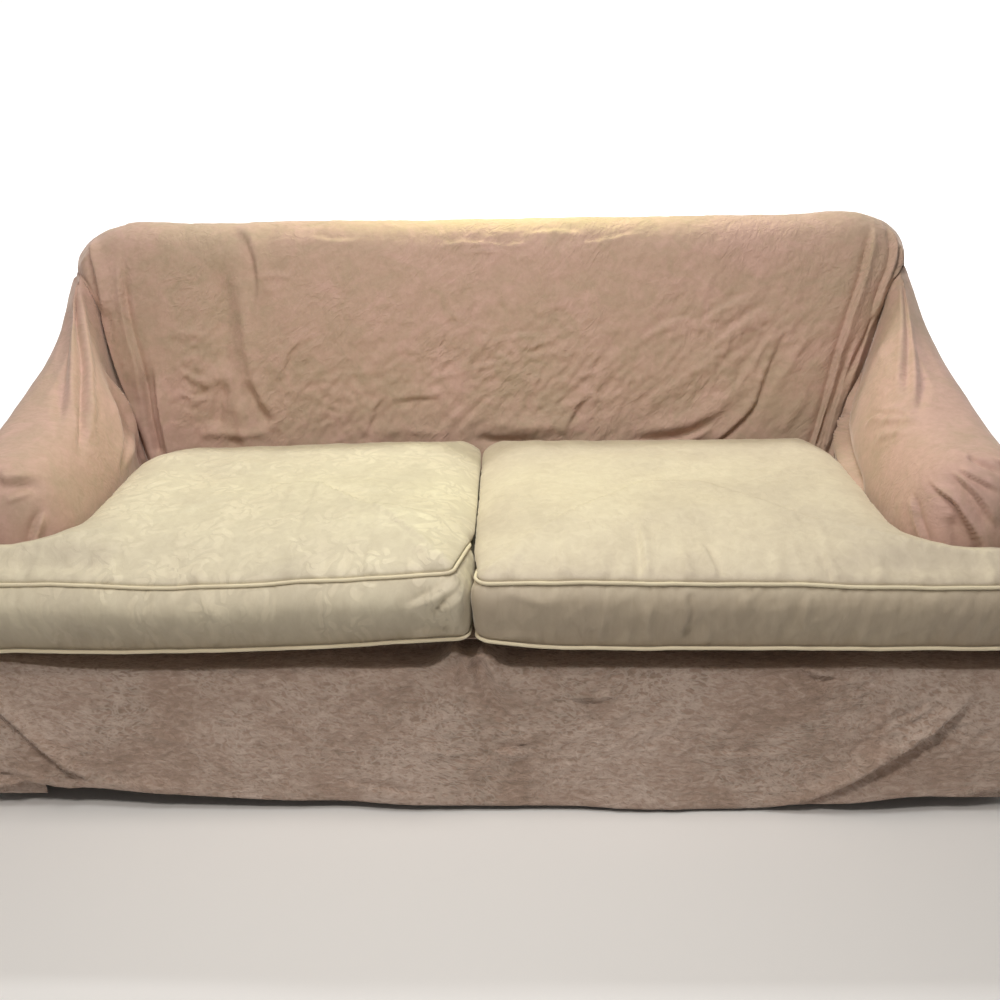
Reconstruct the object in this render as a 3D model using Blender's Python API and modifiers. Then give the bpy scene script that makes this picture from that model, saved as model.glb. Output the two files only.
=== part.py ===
"""Loose velvet slipcover of a two-seat sofa, with its two covered seat cushions.

The cover is a hollow shell of sewn sheets: it is open at the bottom, where the sofa goes in.
Heights and depths are measured from the floor and from the front of the cushions, +X is the
right arm as seen from the front and +Y is the rear.  Each object is then placed so that the
origin is HOLD_POINT, the inner side of the cloth on top of the back, which carries the cover.
"""

import math
from collections import namedtuple

import bmesh
import bpy
from mathutils import Vector
from mathutils.geometry import delaunay_2d_cdt

COLLECTION = "sofa_slipcover"

# Cloth and seams (metres)
CLOTH = 0.0025
SEAM_GAP = 0.0006
CORNER_LAP = 0.0035

# Seat level and floor level
DECK_TOP = 0.3195
FOOT_Z = DECK_TOP + 0.0012
HEM_Z = 0.012

# Arm: a sock over the sofa's arm, from the rear of the seat round its front (the nose)
ARM_INNER_REAR = Vector((0.648, 0.600))
ARM_INNER_FRONT = Vector((0.666, 0.200))
ARM_OUTER_FRONT = Vector((0.892, 0.200))
ARM_OUTER_REAR = Vector((0.852, 0.8165))
NOSE_DEPTH = 0.112
NOSE_POWER = 2.3
RIDGE_REAR = Vector((0.797, 0.700, 0.742))
RIDGE_FRONT = Vector((0.785, 0.195, 0.590))
ROLL_SEAM_Z = 0.470
ROLL_SEAM_RUN = 0.45
VALLEY_RUN = 0.7
VALLEY_POWER = 1.25
ROLL_POWER = 3.0
SHOULDER_POWER = 5.0

# Back: recline, top roll and rear
BACK_TUCK_Y = 0.600
RECLINE_TOP = Vector((0.0, 0.684, 0.798))
TOP_ROLL_RISE = 0.064
REAR_Y = 0.820
SHOULDER_END = math.radians(45)
SHOULDER_PART = 1 / 3
BACK_ROUND_POWER = 6.0
BACK_STRAIGHT_PART = 0.55

# Skirt: front apron, outside arm panels, outside back and the pleats' under-flaps
APRON_Y = 0.034
APRON_HALF_WIDTH = ARM_OUTER_FRONT.x
APRON_KICK = 0.004
SIDE_FRONT_Y = 0.040
SIDE_FLARE = 0.008
SIDE_WAVE = 0.3
SIDE_WAVE_COLUMNS = 4
SIDE_HEM_LIFT_RUN = 0.4
CORNER_HEM_RISE = 0.040
FRONT_HEM_Z = 0.006
LEFT_HEM_LIFT = 0.30
RIGHT_HEM_LIFT = 0.42
HEM_LIFT_RUN = 0.42
FLAP_LENGTH = 0.115
FLAP_STRAIGHT_PART = 0.4
FLAP_INSET = 0.0105
FLAP_CORNER_RADIUS = 0.012
FLAP_TOP_Z = 0.312
FLAP_HEM_Z = 0.020

# Deck under the cushions
DECK_FRONT_Y = APRON_Y + 0.0032
DECK_WING_REAR_Y = 0.207
DECK_MARGIN = 0.007
DECK_WING_HALF = ARM_OUTER_FRONT.x - CLOTH - 0.0008

# Seat cushions, drawn by the line on which their welts run
LEFT_CUSHION_INNER_X = 0.0166
RIGHT_CUSHION_INNER_X = -0.0054
CUSHION_WING_X = 0.884
CUSHION_WING_Y = 0.081
CUSHION_NOTCH_X = 0.6625
CUSHION_REAR_X = 0.6410
CUSHION_REAR_Y = 0.578
CUSHION_BOTTOM_Z = 0.3215
LOWER_WELT_Z = 0.331
UPPER_WELT_Z = 0.445
CROWN = 0.036
CROWN_REACH = 0.075
WELT_RADIUS = 0.0043
FRONT_INNER_RADIUS = 0.022
WING_RADIUS = 0.030
NOTCH_RADIUS = 0.105
REAR_OUTER_RADIUS = 0.050
REAR_INNER_RADIUS = 0.030
ARC_STEPS = 5

# Where the cover is held: the inner side of the cloth on top of the back
HOLD_POINT = Vector((0.0, (RECLINE_TOP.y + REAR_Y) / 2, RECLINE_TOP.z + TOP_ROLL_RISE - CLOTH))

# Mesh steps
ARM_SIDE_STEPS = 8
ARM_NOSE_STEPS = 10
ARM_ROWS = 9
TOP_ROLL_ROWS = 6
BACK_COLUMNS = 30
APRON_COLUMNS = 34
APRON_ROWS = 5
SKIRT_ROWS = 4
PROBE = 0.001

Finish = namedtuple("Finish", "name colour roughness")
VELVET = Finish("dusty_pink_velvet", (0.45, 0.30, 0.235), 0.75)
CREAM = Finish("cream_damask", (0.72, 0.63, 0.45), 0.8)

# A fold is a straight soft ridge (height above 0) or trough between two places on its sheet.
Fold = namedtuple("Fold", "start end height width")
FOLD_END_PART = 0.2
FOLD_END_HEIGHT = 0.35
EDGE_PART = 0.1
FOOT_PART = 0.15

# Places on the inside back are (x, height above the floor), in metres.
BACK_FOLDS = (
    Fold((-0.765, 0.81), (-0.690, 0.47), 0.010, 0.018),
    Fold((-0.735, 0.82), (-0.668, 0.45), -0.010, 0.016),
    Fold((-0.670, 0.58), (-0.652, 0.44), -0.007, 0.014),
    Fold((-0.500, 0.85), (-0.480, 0.38), -0.006, 0.040),
    Fold((-0.420, 0.85), (-0.440, 0.40), 0.005, 0.030),
    Fold((0.775, 0.83), (0.690, 0.50), 0.010, 0.020),
    Fold((0.745, 0.85), (0.650, 0.45), -0.010, 0.016),
    Fold((0.480, 0.54), (0.300, 0.42), 0.005, 0.030),
    Fold((0.250, 0.55), (0.080, 0.42), 0.004, 0.030),
)

# Places on an arm are (turn round the arm, rise): turn 0 to 1 runs along the inner side from
# the rear, 1 to 2 round the nose and 2 to 3 along the outer side; rise is 0 at the foot and 1
# on the ridge.
LEFT_ARM_FOLDS = (
    Fold((0.22, 0.75), (0.16, 0.20), -0.008, 0.05),
    Fold((0.40, 0.80), (0.34, 0.25), 0.006, 0.07),
    Fold((1.28, 0.62), (1.22, 0.30), 0.007, 0.06),
    Fold((1.42, 0.70), (1.62, 0.60), -0.006, 0.07),
)
RIGHT_ARM_FOLDS = (
    Fold((0.20, 0.70), (0.14, 0.20), -0.008, 0.05),
    Fold((0.45, 0.85), (0.40, 0.25), 0.006, 0.07),
    Fold((1.22, 0.62), (1.30, 0.30), 0.007, 0.06),
    Fold((1.38, 0.70), (1.50, 0.28), 0.009, 0.07),
    Fold((1.60, 0.72), (1.70, 0.45), -0.006, 0.06),
)

# Places on the apron are (x, height above the floor), in metres.
APRON_FOLDS = (
    Fold((-0.050, 0.31), (0.060, 0.16), 0.010, 0.030),
    Fold((-0.090, 0.31), (-0.120, 0.12), -0.006, 0.050),
    Fold((-0.830, 0.17), (-0.640, 0.04), 0.009, 0.030),
    Fold((0.420, 0.02), (0.840, 0.19), 0.010, 0.028),
    Fold((-0.360, 0.03), (-0.200, 0.02), 0.006, 0.030),
    Fold((0.030, 0.05), (0.230, 0.05), 0.005, 0.025),
)
APRON_WAVE = 0.005
APRON_WAVE_LENGTH = 0.37


# ---------------------------------------------------------------- small helpers


def mix(first, second, amount):
    """The value or point that lies amount of the way from first to second."""
    return first + (second - first) * amount


def ease(amount):
    """A smooth step from 0 to 1."""
    amount = min(1.0, max(0.0, amount))
    return amount * amount * (3.0 - 2.0 * amount)


def powered(value, power):
    """A sine or cosine bent towards a squarer superellipse, with its sign kept."""
    return math.copysign(abs(value) ** (2.0 / power), value)


def fold_height(place, folds):
    """Height that the folds add to a sheet at a place."""
    here = Vector(place)
    height = 0.0
    for fold in folds:
        start = Vector(fold.start)
        run = Vector(fold.end) - start
        along = min(1.0, max(0.0, (here - start).dot(run) / run.length_squared))
        away = (here - start - run * along).length
        full = ease(along / FOLD_END_PART) * ease((1.0 - along) / FOLD_END_PART)
        strength = mix(FOLD_END_HEIGHT, 1.0, full)
        height += fold.height * strength * math.exp(-((away / fold.width) ** 2))
    return height


def part_material(finish):
    """One Principled material in the finish's colour."""
    material = bpy.data.materials.new(finish.name)
    material.use_nodes = True
    shader = material.node_tree.nodes["Principled BSDF"]
    shader.inputs["Base Color"].default_value = (*finish.colour, 1.0)
    shader.inputs["Roughness"].default_value = finish.roughness
    shader.inputs["Metallic"].default_value = 0.0
    return material


def add_object(name, data, finish):
    """Place an object so that the origin of the part is HOLD_POINT."""
    data.materials.append(part_material(finish))
    piece = bpy.data.objects.new(name, data)
    piece.location = -HOLD_POINT
    bpy.data.collections[COLLECTION].objects.link(piece)
    return piece


def sheet(name, columns, rows, place, finish=VELVET, mirrored=False):
    """A sewn panel: a grid shaped by place(column, row) and thickened on its hidden side."""
    shape = bmesh.new()
    bmesh.ops.create_grid(shape, x_segments=columns, y_segments=rows, size=0.5)
    for corner in shape.verts:
        column = round((corner.co.x + 0.5) * columns)
        row = round((corner.co.y + 0.5) * rows)
        corner.co = place(column, row)
        if mirrored:
            corner.co.x = -corner.co.x
    bmesh.ops.remove_doubles(shape, verts=shape.verts, dist=0.00005)
    if mirrored:
        bmesh.ops.reverse_faces(shape, faces=shape.faces)
    mesh = bpy.data.meshes.new(name)
    shape.to_mesh(mesh)
    shape.free()
    mesh.shade_smooth()
    piece = add_object(name, mesh, finish)
    shell = piece.modifiers.new("cloth_thickness", "SOLIDIFY")
    shell.thickness = CLOTH
    shell.offset = -1.0
    return piece


# ---------------------------------------------------------------- arms


def arm_foot(turn):
    """Lower edge of the arm's cloth."""
    if turn <= 1.0:
        plan = mix(ARM_INNER_REAR, ARM_INNER_FRONT, turn)
        return Vector((plan.x, plan.y, FOOT_Z))
    if turn < 2.0:
        angle = math.pi * (turn - 1.0)
        middle = (ARM_INNER_FRONT.x + ARM_OUTER_FRONT.x) / 2
        half = (ARM_OUTER_FRONT.x - ARM_INNER_FRONT.x) / 2
        x = middle - half * powered(math.cos(angle), NOSE_POWER)
        y = ARM_INNER_FRONT.y - NOSE_DEPTH * powered(math.sin(angle), NOSE_POWER)
        return Vector((x, y, FOOT_Z))
    plan = mix(ARM_OUTER_FRONT, ARM_OUTER_REAR, turn - 2.0)
    rise = ease((turn - 2.0) / ROLL_SEAM_RUN)
    return Vector((plan.x, plan.y, mix(FOOT_Z, ROLL_SEAM_Z, rise)))


def arm_ridge(turn):
    """Top line of the arm, which climbs to the shoulder of the back."""
    along = min(1.0, turn, 3.0 - turn)
    ridge = mix(RIDGE_REAR, RIDGE_FRONT, along)
    ridge.z = mix(RIDGE_FRONT.z, RIDGE_REAR.z, (1.0 - along) ** 2)
    return ridge


def arm_power(turn):
    """How square the arm's section is: slack in the valley, round on the roll."""
    if turn <= 1.0:
        return mix(VALLEY_POWER, ROLL_POWER, ease(turn / VALLEY_RUN))
    return mix(ROLL_POWER, SHOULDER_POWER, ease(turn - 2.0))


def arm_surface(turn, rise, folds=()):
    """Point of the arm's cloth, rise 0 at the foot and 1 on the ridge."""
    foot = arm_foot(turn)
    ridge = arm_ridge(turn)
    angle = rise * math.pi / 2
    power = arm_power(turn)
    inward = 1.0 - powered(math.cos(angle), power)
    upward = powered(math.sin(angle), power)
    point = mix(foot, ridge, inward)
    point.z = mix(foot.z, ridge.z, upward)
    outward = Vector((foot.x - ridge.x, foot.y - ridge.y, 0.0)).normalized()
    normal = outward * math.cos(angle) + Vector((0.0, 0.0, math.sin(angle)))
    free = ease(turn / EDGE_PART) * ease((3.0 - turn) / EDGE_PART) * ease(rise / FOOT_PART)
    return point + normal * (fold_height((turn, rise), folds) * free)


def arm_turn(column):
    """Turn of a column of the arm's grid, which is finer round the nose."""
    if column <= ARM_SIDE_STEPS:
        return column / ARM_SIDE_STEPS
    if column <= ARM_SIDE_STEPS + ARM_NOSE_STEPS:
        return 1.0 + (column - ARM_SIDE_STEPS) / ARM_NOSE_STEPS
    return 2.0 + (column - ARM_SIDE_STEPS - ARM_NOSE_STEPS) / ARM_SIDE_STEPS


def build_inside_arm(side, folds, mirrored):
    """Inner side, roll and nose of one arm in one piece, with the tucks at its front."""

    def place(column, row):
        return arm_surface(arm_turn(column), row / ARM_ROWS, folds)

    columns = 2 * ARM_SIDE_STEPS + ARM_NOSE_STEPS
    sheet(f"inside_arm_{side}", columns, ARM_ROWS, place, mirrored=mirrored)


def outside_arm_top(column):
    """Upper edge of the outside arm panel: level below the nose, then under the roll."""
    if column <= SKIRT_ROWS:
        y = mix(SIDE_FRONT_Y, ARM_OUTER_FRONT.y, column / SKIRT_ROWS)
        return Vector((ARM_OUTER_FRONT.x, y, DECK_TOP))
    foot = arm_foot(2.0 + (column - SKIRT_ROWS) / ARM_SIDE_STEPS)
    return foot - Vector((0.0, 0.0, SEAM_GAP))


def build_outside_arm(side, mirrored):
    """Plain side panel that hangs from the roll to the floor."""
    columns = SKIRT_ROWS + ARM_SIDE_STEPS

    def place(column, row):
        top = outside_arm_top(column)
        drop = 1.0 - row / SKIRT_ROWS
        wave = SIDE_WAVE * (1.0 - math.cos(2 * math.pi * column / SIDE_WAVE_COLUMNS))
        swing = SIDE_FLARE * drop * (1.0 + wave)
        return Vector((top.x + swing, top.y, mix(top.z, side_hem(column / columns), drop)))

    sheet(f"outside_arm_{side}", columns, SKIRT_ROWS, place, mirrored=mirrored)


def side_hem(along):
    """Hem height of the side panel, lifted at the front corner as on the apron."""
    return HEM_Z + CORNER_HEM_RISE * (1.0 - ease(along / SIDE_HEM_LIFT_RUN))


# ---------------------------------------------------------------- back


def rounded_span(across, power):
    """Width and rise fractions of a row that is flat in the middle and round at its ends."""
    amount = abs(across)
    if amount <= BACK_STRAIGHT_PART:
        width = 0.5 ** (1.0 / power) * amount / BACK_STRAIGHT_PART
        rise = (1.0 - width ** power) ** (1.0 / power)
    else:
        angle = math.pi / 4 * (1.0 + (amount - BACK_STRAIGHT_PART) / (1.0 - BACK_STRAIGHT_PART))
        width = powered(math.sin(angle), power)
        rise = powered(math.cos(angle), power)
    return math.copysign(width, across), rise


def back_middle(climb):
    """Section of the inside back at its middle: climb 0 to 1 is the recline, 1 to 2 the roll."""
    if climb <= 1.0:
        upward = powered(math.sin(climb * math.pi / 2), VALLEY_POWER)
        z = mix(FOOT_Z, RECLINE_TOP.z, upward)
        return Vector((0.0, mix(BACK_TUCK_Y, RECLINE_TOP.y, upward), z))
    angle = math.pi * (climb - 1.0)
    y = mix(RECLINE_TOP.y, REAR_Y, (1.0 - math.cos(angle)) / 2)
    return Vector((0.0, y, RECLINE_TOP.z + TOP_ROLL_RISE * math.sin(angle)))


def back_side(climb):
    """Seam of the inside back with the right arm: up the valley, then over the shoulder."""
    if climb <= 1.0:
        seam = arm_surface(0.0, climb)
        lap = 0.0
    else:
        rise = mix(1.0, SHOULDER_END / (math.pi / 2), climb - 1.0)
        seam = arm_surface(3.0, rise)
        lap = CORNER_LAP * (climb - 1.0)
    return seam + Vector((-SEAM_GAP, lap, SEAM_GAP))


def back_surface(across, climb):
    """Point of the inside back without its folds; across runs from -1 to 1."""
    width, rise = rounded_span(across, BACK_ROUND_POWER)
    middle = back_middle(climb)
    side = back_side(climb)
    y = mix(side.y, middle.y, rise)
    z = mix(side.z, middle.z, rise)
    return Vector((side.x * width, y, z))


def build_inside_back():
    """Inside back with its top and shoulders in one piece, pleated beside the arms."""
    rows = ARM_ROWS + TOP_ROLL_ROWS
    def place(column, row):
        across = 2.0 * column / BACK_COLUMNS - 1.0
        if row <= ARM_ROWS:
            climb = row / ARM_ROWS
        else:
            climb = 1.0 + (row - ARM_ROWS) / TOP_ROLL_ROWS
        point = back_surface(across, climb)
        if column in (0, BACK_COLUMNS) or row in (0, rows):
            return point
        along = back_surface(across + PROBE, climb) - back_surface(across - PROBE, climb)
        upward = back_surface(across, climb + PROBE) - back_surface(across, climb - PROBE)
        normal = along.cross(upward).normalized()
        return point + normal * fold_height((point.x, point.z), BACK_FOLDS)

    sheet("inside_back", BACK_COLUMNS, rows, place)


def outside_back_side(drop):
    """Right edge of the outside back: down the shoulder, then down the side panel."""
    if drop <= SHOULDER_PART:
        rise = (1.0 - drop / SHOULDER_PART) * SHOULDER_END / (math.pi / 2)
        edge = arm_surface(3.0, rise)
    else:
        fall = (drop - SHOULDER_PART) / (1.0 - SHOULDER_PART)
        edge = arm_foot(3.0)
        edge.x += SIDE_FLARE * fall
        edge.z = mix(ROLL_SEAM_Z, HEM_Z, fall)
    edge.y += CORNER_LAP
    return edge


def build_outside_back():
    """Plain rear panel, from the seam behind the top to the floor."""
    columns = BACK_COLUMNS
    rows = 6
    corner = outside_back_side(0.0)

    def place(column, row):
        across = 1.0 - 2.0 * column / columns
        drop = 1.0 - row / rows
        top = back_surface(across, 2.0)
        edge = outside_back_side(drop)
        width, rise = rounded_span(across, BACK_ROUND_POWER)
        gap = 2 * SEAM_GAP * (1.0 - drop)
        half_width = edge.x - gap - CLOTH * (1.0 - drop)
        z = edge.z + (top.z - corner.z) * (1.0 - drop) - gap
        return Vector((half_width * width, mix(edge.y, REAR_Y, rise), z))

    sheet("outside_back", columns, rows, place)


# ---------------------------------------------------------------- front of the cover


def front_hem(x):
    """Hem height of the apron, which lifts towards both corners, sooner on the left."""
    start = LEFT_HEM_LIFT if x < 0.0 else RIGHT_HEM_LIFT
    return FRONT_HEM_Z + CORNER_HEM_RISE * ease((abs(x) - start) / HEM_LIFT_RUN)


def build_front_apron():
    """Front panel from the edge of the deck to the floor, slack and creased."""

    def place(column, row):
        x = APRON_HALF_WIDTH * (2.0 * column / APRON_COLUMNS - 1.0)
        drop = 1.0 - row / APRON_ROWS
        z = mix(DECK_TOP, front_hem(x), drop)
        wave = APRON_WAVE * math.sin(2 * math.pi * x / APRON_WAVE_LENGTH) - APRON_WAVE
        slack = fold_height((x, z), APRON_FOLDS) * ease(drop / FOOT_PART) - wave * drop
        return Vector((x, APRON_Y - APRON_KICK * drop - slack, z))

    sheet("front_apron", APRON_COLUMNS, APRON_ROWS, place)


def flap_plan(along):
    """Path of a corner flap in plan, from behind the apron round to behind the side panel."""
    corner_x = ARM_OUTER_FRONT.x - FLAP_INSET
    corner_y = APRON_Y + FLAP_INSET
    turn_x = corner_x - FLAP_CORNER_RADIUS
    turn_y = corner_y + FLAP_CORNER_RADIUS
    if along < FLAP_STRAIGHT_PART:
        return turn_x - FLAP_LENGTH * (1.0 - along / FLAP_STRAIGHT_PART), corner_y
    if along > 1.0 - FLAP_STRAIGHT_PART:
        return corner_x, turn_y + FLAP_LENGTH * (1.0 - (1.0 - along) / FLAP_STRAIGHT_PART)
    bend = (along - FLAP_STRAIGHT_PART) / (1.0 - 2 * FLAP_STRAIGHT_PART)
    angle = math.pi / 2 * bend
    x = turn_x + FLAP_CORNER_RADIUS * math.sin(angle)
    return x, turn_y - FLAP_CORNER_RADIUS * math.cos(angle)


def build_corner_flap(side, mirrored):
    """Under-flap of the pleat at a front corner, which shows below the lifted hem."""
    columns = 10
    rows = 3

    def place(column, row):
        x, y = flap_plan(column / columns)
        return Vector((x, y, mix(FLAP_HEM_Z, FLAP_TOP_Z, row / rows)))

    sheet(f"corner_flap_{side}", columns, rows, place, mirrored=mirrored)


def flat_panel(name, outline, top, finish=VELVET):
    """A flat sheet cut to an outline, with its upper side at height top."""
    cut = bpy.data.curves.new(name, "CURVE")
    cut.dimensions = "2D"
    cut.fill_mode = "BOTH"
    cut.extrude = CLOTH / 2
    edge = cut.splines.new("POLY")
    edge.points.add(len(outline) - 1)
    for point, (x, y) in zip(edge.points, outline):
        point.co = (x, y, 0.0, 1.0)
    edge.use_cyclic_u = True
    piece = add_object(name, cut, finish)
    piece.location.z += top - CLOTH / 2


def build_deck():
    """Flat panel under the cushions, as wide as the arms at its front."""
    rear_x = ARM_INNER_REAR.x + DECK_MARGIN
    front_x = ARM_INNER_FRONT.x + DECK_MARGIN
    rear_y = BACK_TUCK_Y + DECK_MARGIN
    right = [
        (DECK_WING_HALF, DECK_FRONT_Y),
        (DECK_WING_HALF, DECK_WING_REAR_Y),
        (front_x, DECK_WING_REAR_Y),
        (rear_x, rear_y),
    ]
    left = [(-x, y) for x, y in reversed(right)]
    flat_panel("deck", right + left, DECK_TOP)


# ---------------------------------------------------------------- seat cushions


def rounded_outline(corners, inset):
    """Closed outline through (x, y, radius) corners, moved inwards by inset."""
    points = []
    count = len(corners)
    for index in range(count):
        before = Vector(corners[index - 1][:2])
        here = Vector(corners[index][:2])
        after = Vector(corners[(index + 1) % count][:2])
        arriving = (here - before).normalized()
        leaving = (after - here).normalized()
        bend = arriving.cross(leaving)
        turn = math.atan2(bend, arriving.dot(leaving))
        inner_arriving = Vector((-arriving.y, arriving.x))
        shift = math.tan(turn / 2)
        moved = here + inner_arriving * inset - arriving * (inset * shift)
        radius = corners[index][2] - math.copysign(inset, bend)
        cut = radius * abs(shift)
        centre = moved - arriving * cut + inner_arriving * math.copysign(radius, bend)
        spoke = moved - arriving * cut - centre
        for step in range(ARC_STEPS + 1):
            angle = turn * step / ARC_STEPS
            cosine = math.cos(angle)
            sine = math.sin(angle)
            turned = Vector((spoke.x * cosine - spoke.y * sine, spoke.x * sine + spoke.y * cosine))
            points.append(centre + turned)
    return points


def cushion_outline(inner_x, inset):
    """Outline of a cushion as the right one lies, from its front inner corner anticlockwise."""
    corners = (
        (inner_x, 0.0, FRONT_INNER_RADIUS),
        (CUSHION_WING_X, 0.0, WING_RADIUS),
        (CUSHION_WING_X, CUSHION_WING_Y, WING_RADIUS),
        (CUSHION_NOTCH_X, CUSHION_WING_Y, NOTCH_RADIUS),
        (CUSHION_REAR_X, CUSHION_REAR_Y, REAR_OUTER_RADIUS),
        (inner_x, CUSHION_REAR_Y, REAR_INNER_RADIUS),
    )
    return rounded_outline(corners, inset)


# Rings of a cushion from its bottom up: how far inside the welt line, and how high.
Ring = namedtuple("Ring", "inset height")
CUSHION_RINGS = (
    Ring(0.0140, CUSHION_BOTTOM_Z),
    Ring(0.0065, LOWER_WELT_Z),
    Ring(0.0000, LOWER_WELT_Z + 0.013),
    Ring(-0.0030, (LOWER_WELT_Z + UPPER_WELT_Z) / 2),
    Ring(0.0000, UPPER_WELT_Z - 0.013),
    Ring(0.0065, UPPER_WELT_Z),
    Ring(0.0140, UPPER_WELT_Z + 0.008),
)
CROWN_GRID = 0.068
CROWN_MARGIN = 0.027


def edge_distance(point, outline):
    """Distance from a point to the nearest side of a closed outline."""
    nearest = math.inf
    for index, start in enumerate(outline):
        run = outline[(index + 1) % len(outline)] - start
        along = min(1.0, max(0.0, (point - start).dot(run) / run.length_squared))
        nearest = min(nearest, (point - start - run * along).length)
    return nearest


def inside(point, outline):
    """True when a point lies within a closed outline."""
    crossings = 0
    for index, start in enumerate(outline):
        end = outline[(index + 1) % len(outline)]
        if (start.y > point.y) != (end.y > point.y):
            reach = start.x + (point.y - start.y) * (end.x - start.x) / (end.y - start.y)
            crossings += reach > point.x
    return crossings % 2 == 1


def crown_places(outline):
    """Grid places inside the top of a cushion, clear of its edge."""
    places = []
    for column in range(1, math.ceil(CUSHION_WING_X / CROWN_GRID)):
        for row in range(1, math.ceil(CUSHION_REAR_Y / CROWN_GRID)):
            place = Vector((column * CROWN_GRID, (row - 1 / 3) * CROWN_GRID))
            if inside(place, outline) and edge_distance(place, outline) > CROWN_MARGIN:
                places.append(place)
    return places


def build_cushion(side, inner_x, mirrored):
    """Filled cushion: boxing between two welt grooves, flat bottom and crowned top."""
    shape = bmesh.new()
    rings = []
    for ring in CUSHION_RINGS:
        outline = cushion_outline(inner_x, ring.inset)
        rings.append([shape.verts.new((p.x, p.y, ring.height)) for p in outline])
    count = len(rings[0])
    for lower, upper in zip(rings, rings[1:]):
        for index in range(count):
            after = (index + 1) % count
            shape.faces.new((lower[index], lower[after], upper[after], upper[index]))
    bottom = shape.faces.new(list(reversed(rings[0])))
    bottom.normal_update()
    bmesh.ops.triangulate(shape, faces=[bottom])

    outline = cushion_outline(inner_x, CUSHION_RINGS[-1].inset)
    places = crown_places(outline)
    edges = [(index, (index + 1) % count) for index in range(count)]
    result = delaunay_2d_cdt(outline + places, edges, [], 1, 0.0)
    corners = list(rings[-1])
    for place in result[0][count:]:
        lift = CROWN * (1.0 - math.exp(-edge_distance(place, outline) / CROWN_REACH))
        corners.append(shape.verts.new((place.x, place.y, CUSHION_RINGS[-1].height + lift)))
    for triangle in result[2]:
        shape.faces.new([corners[index] for index in triangle])

    if mirrored:
        for corner in shape.verts:
            corner.co.x = -corner.co.x
    bmesh.ops.recalc_face_normals(shape, faces=shape.faces)
    mesh = bpy.data.meshes.new(f"seat_cushion_{side}")
    shape.to_mesh(mesh)
    shape.free()
    mesh.shade_smooth()
    add_object(f"seat_cushion_{side}", mesh, CREAM)


def build_welt(side, level, z, inner_x, mirrored):
    """Covered cord sewn round a cushion's edge."""
    cord = bpy.data.curves.new(f"welt_{level}_{side}", "CURVE")
    cord.dimensions = "3D"
    cord.bevel_depth = WELT_RADIUS
    cord.bevel_resolution = 1
    cord.use_fill_caps = True
    run = cord.splines.new("POLY")
    outline = cushion_outline(inner_x, 0.0)
    run.points.add(len(outline) - 1)
    for point, place in zip(run.points, outline):
        x = -place.x if mirrored else place.x
        point.co = (x, place.y, z, 1.0)
    run.use_cyclic_u = True
    add_object(f"welt_{level}_{side}", cord, CREAM)


# ---------------------------------------------------------------- whole part


def main():
    for piece in list(bpy.data.objects):
        bpy.data.objects.remove(piece)
    collection = bpy.data.collections.new(COLLECTION)
    bpy.context.scene.collection.children.link(collection)

    build_inside_back()
    build_outside_back()
    build_front_apron()
    build_deck()
    for side, mirrored, folds, inner_x in (
        ("left", True, LEFT_ARM_FOLDS, LEFT_CUSHION_INNER_X),
        ("right", False, RIGHT_ARM_FOLDS, RIGHT_CUSHION_INNER_X),
    ):
        build_inside_arm(side, folds, mirrored)
        build_outside_arm(side, mirrored)
        build_corner_flap(side, mirrored)
        build_cushion(side, inner_x, mirrored)
        build_welt(side, "lower", LOWER_WELT_Z, inner_x, mirrored)
        build_welt(side, "upper", UPPER_WELT_Z, inner_x, mirrored)


main()
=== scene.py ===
"""Loose velvet slipcover of a two-seat sofa, with its two covered seat cushions.

Sizes are in metres.  Heights are measured from the floor and depths from the front of the
cushions, +X is the right arm as seen from the front and +Y is the rear.  Each piece is then moved
so that the origin is HOLD_POINT, the inner side of the cloth on top of the back.
"""

import math
from collections import namedtuple

import bmesh
import bpy
import numpy as np
from mathutils import Matrix, Vector, noise
from mathutils.geometry import delaunay_2d_cdt


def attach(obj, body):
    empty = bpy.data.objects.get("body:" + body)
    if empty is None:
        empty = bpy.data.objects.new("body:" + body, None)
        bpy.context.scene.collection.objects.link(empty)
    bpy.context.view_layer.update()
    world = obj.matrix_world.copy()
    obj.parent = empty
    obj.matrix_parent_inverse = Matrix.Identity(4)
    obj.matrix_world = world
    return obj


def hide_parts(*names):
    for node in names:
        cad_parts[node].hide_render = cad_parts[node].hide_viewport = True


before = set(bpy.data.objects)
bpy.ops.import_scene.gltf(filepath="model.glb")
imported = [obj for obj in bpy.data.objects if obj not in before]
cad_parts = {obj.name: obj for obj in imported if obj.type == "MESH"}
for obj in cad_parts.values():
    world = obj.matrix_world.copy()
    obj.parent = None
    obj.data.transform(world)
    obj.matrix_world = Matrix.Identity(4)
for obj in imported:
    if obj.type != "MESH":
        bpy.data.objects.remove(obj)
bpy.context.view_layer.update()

# Cloth and seams
CLOTH = 0.0025
SEAM_GAP = 0.0006
CORNER_LAP = 0.0035

# Seat level and floor level
DECK_TOP = 0.3195
FOOT_Z = DECK_TOP + 0.0012
HEM_Z = 0.012

# Arm: a sock over the sofa's arm, from the rear of the seat round its front (the nose)
ARM_INNER_REAR = np.array((0.648, 0.600))
ARM_INNER_FRONT = np.array((0.666, 0.200))
ARM_OUTER_FRONT = np.array((0.892, 0.200))
ARM_OUTER_REAR = np.array((0.852, 0.8165))
NOSE_DEPTH = 0.112
NOSE_POWER = 2.3
RIDGE_REAR = np.array((0.797, 0.700, 0.742))
RIDGE_FRONT = np.array((0.785, 0.195, 0.590))
ROLL_SEAM_Z = 0.470
ROLL_SEAM_RUN = 0.45
VALLEY_RUN = 0.7
VALLEY_POWER = 1.25
ROLL_POWER = 3.0
SHOULDER_POWER = 5.0
TURN_LENGTH = 0.42
RISE_LENGTH = 0.36

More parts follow.
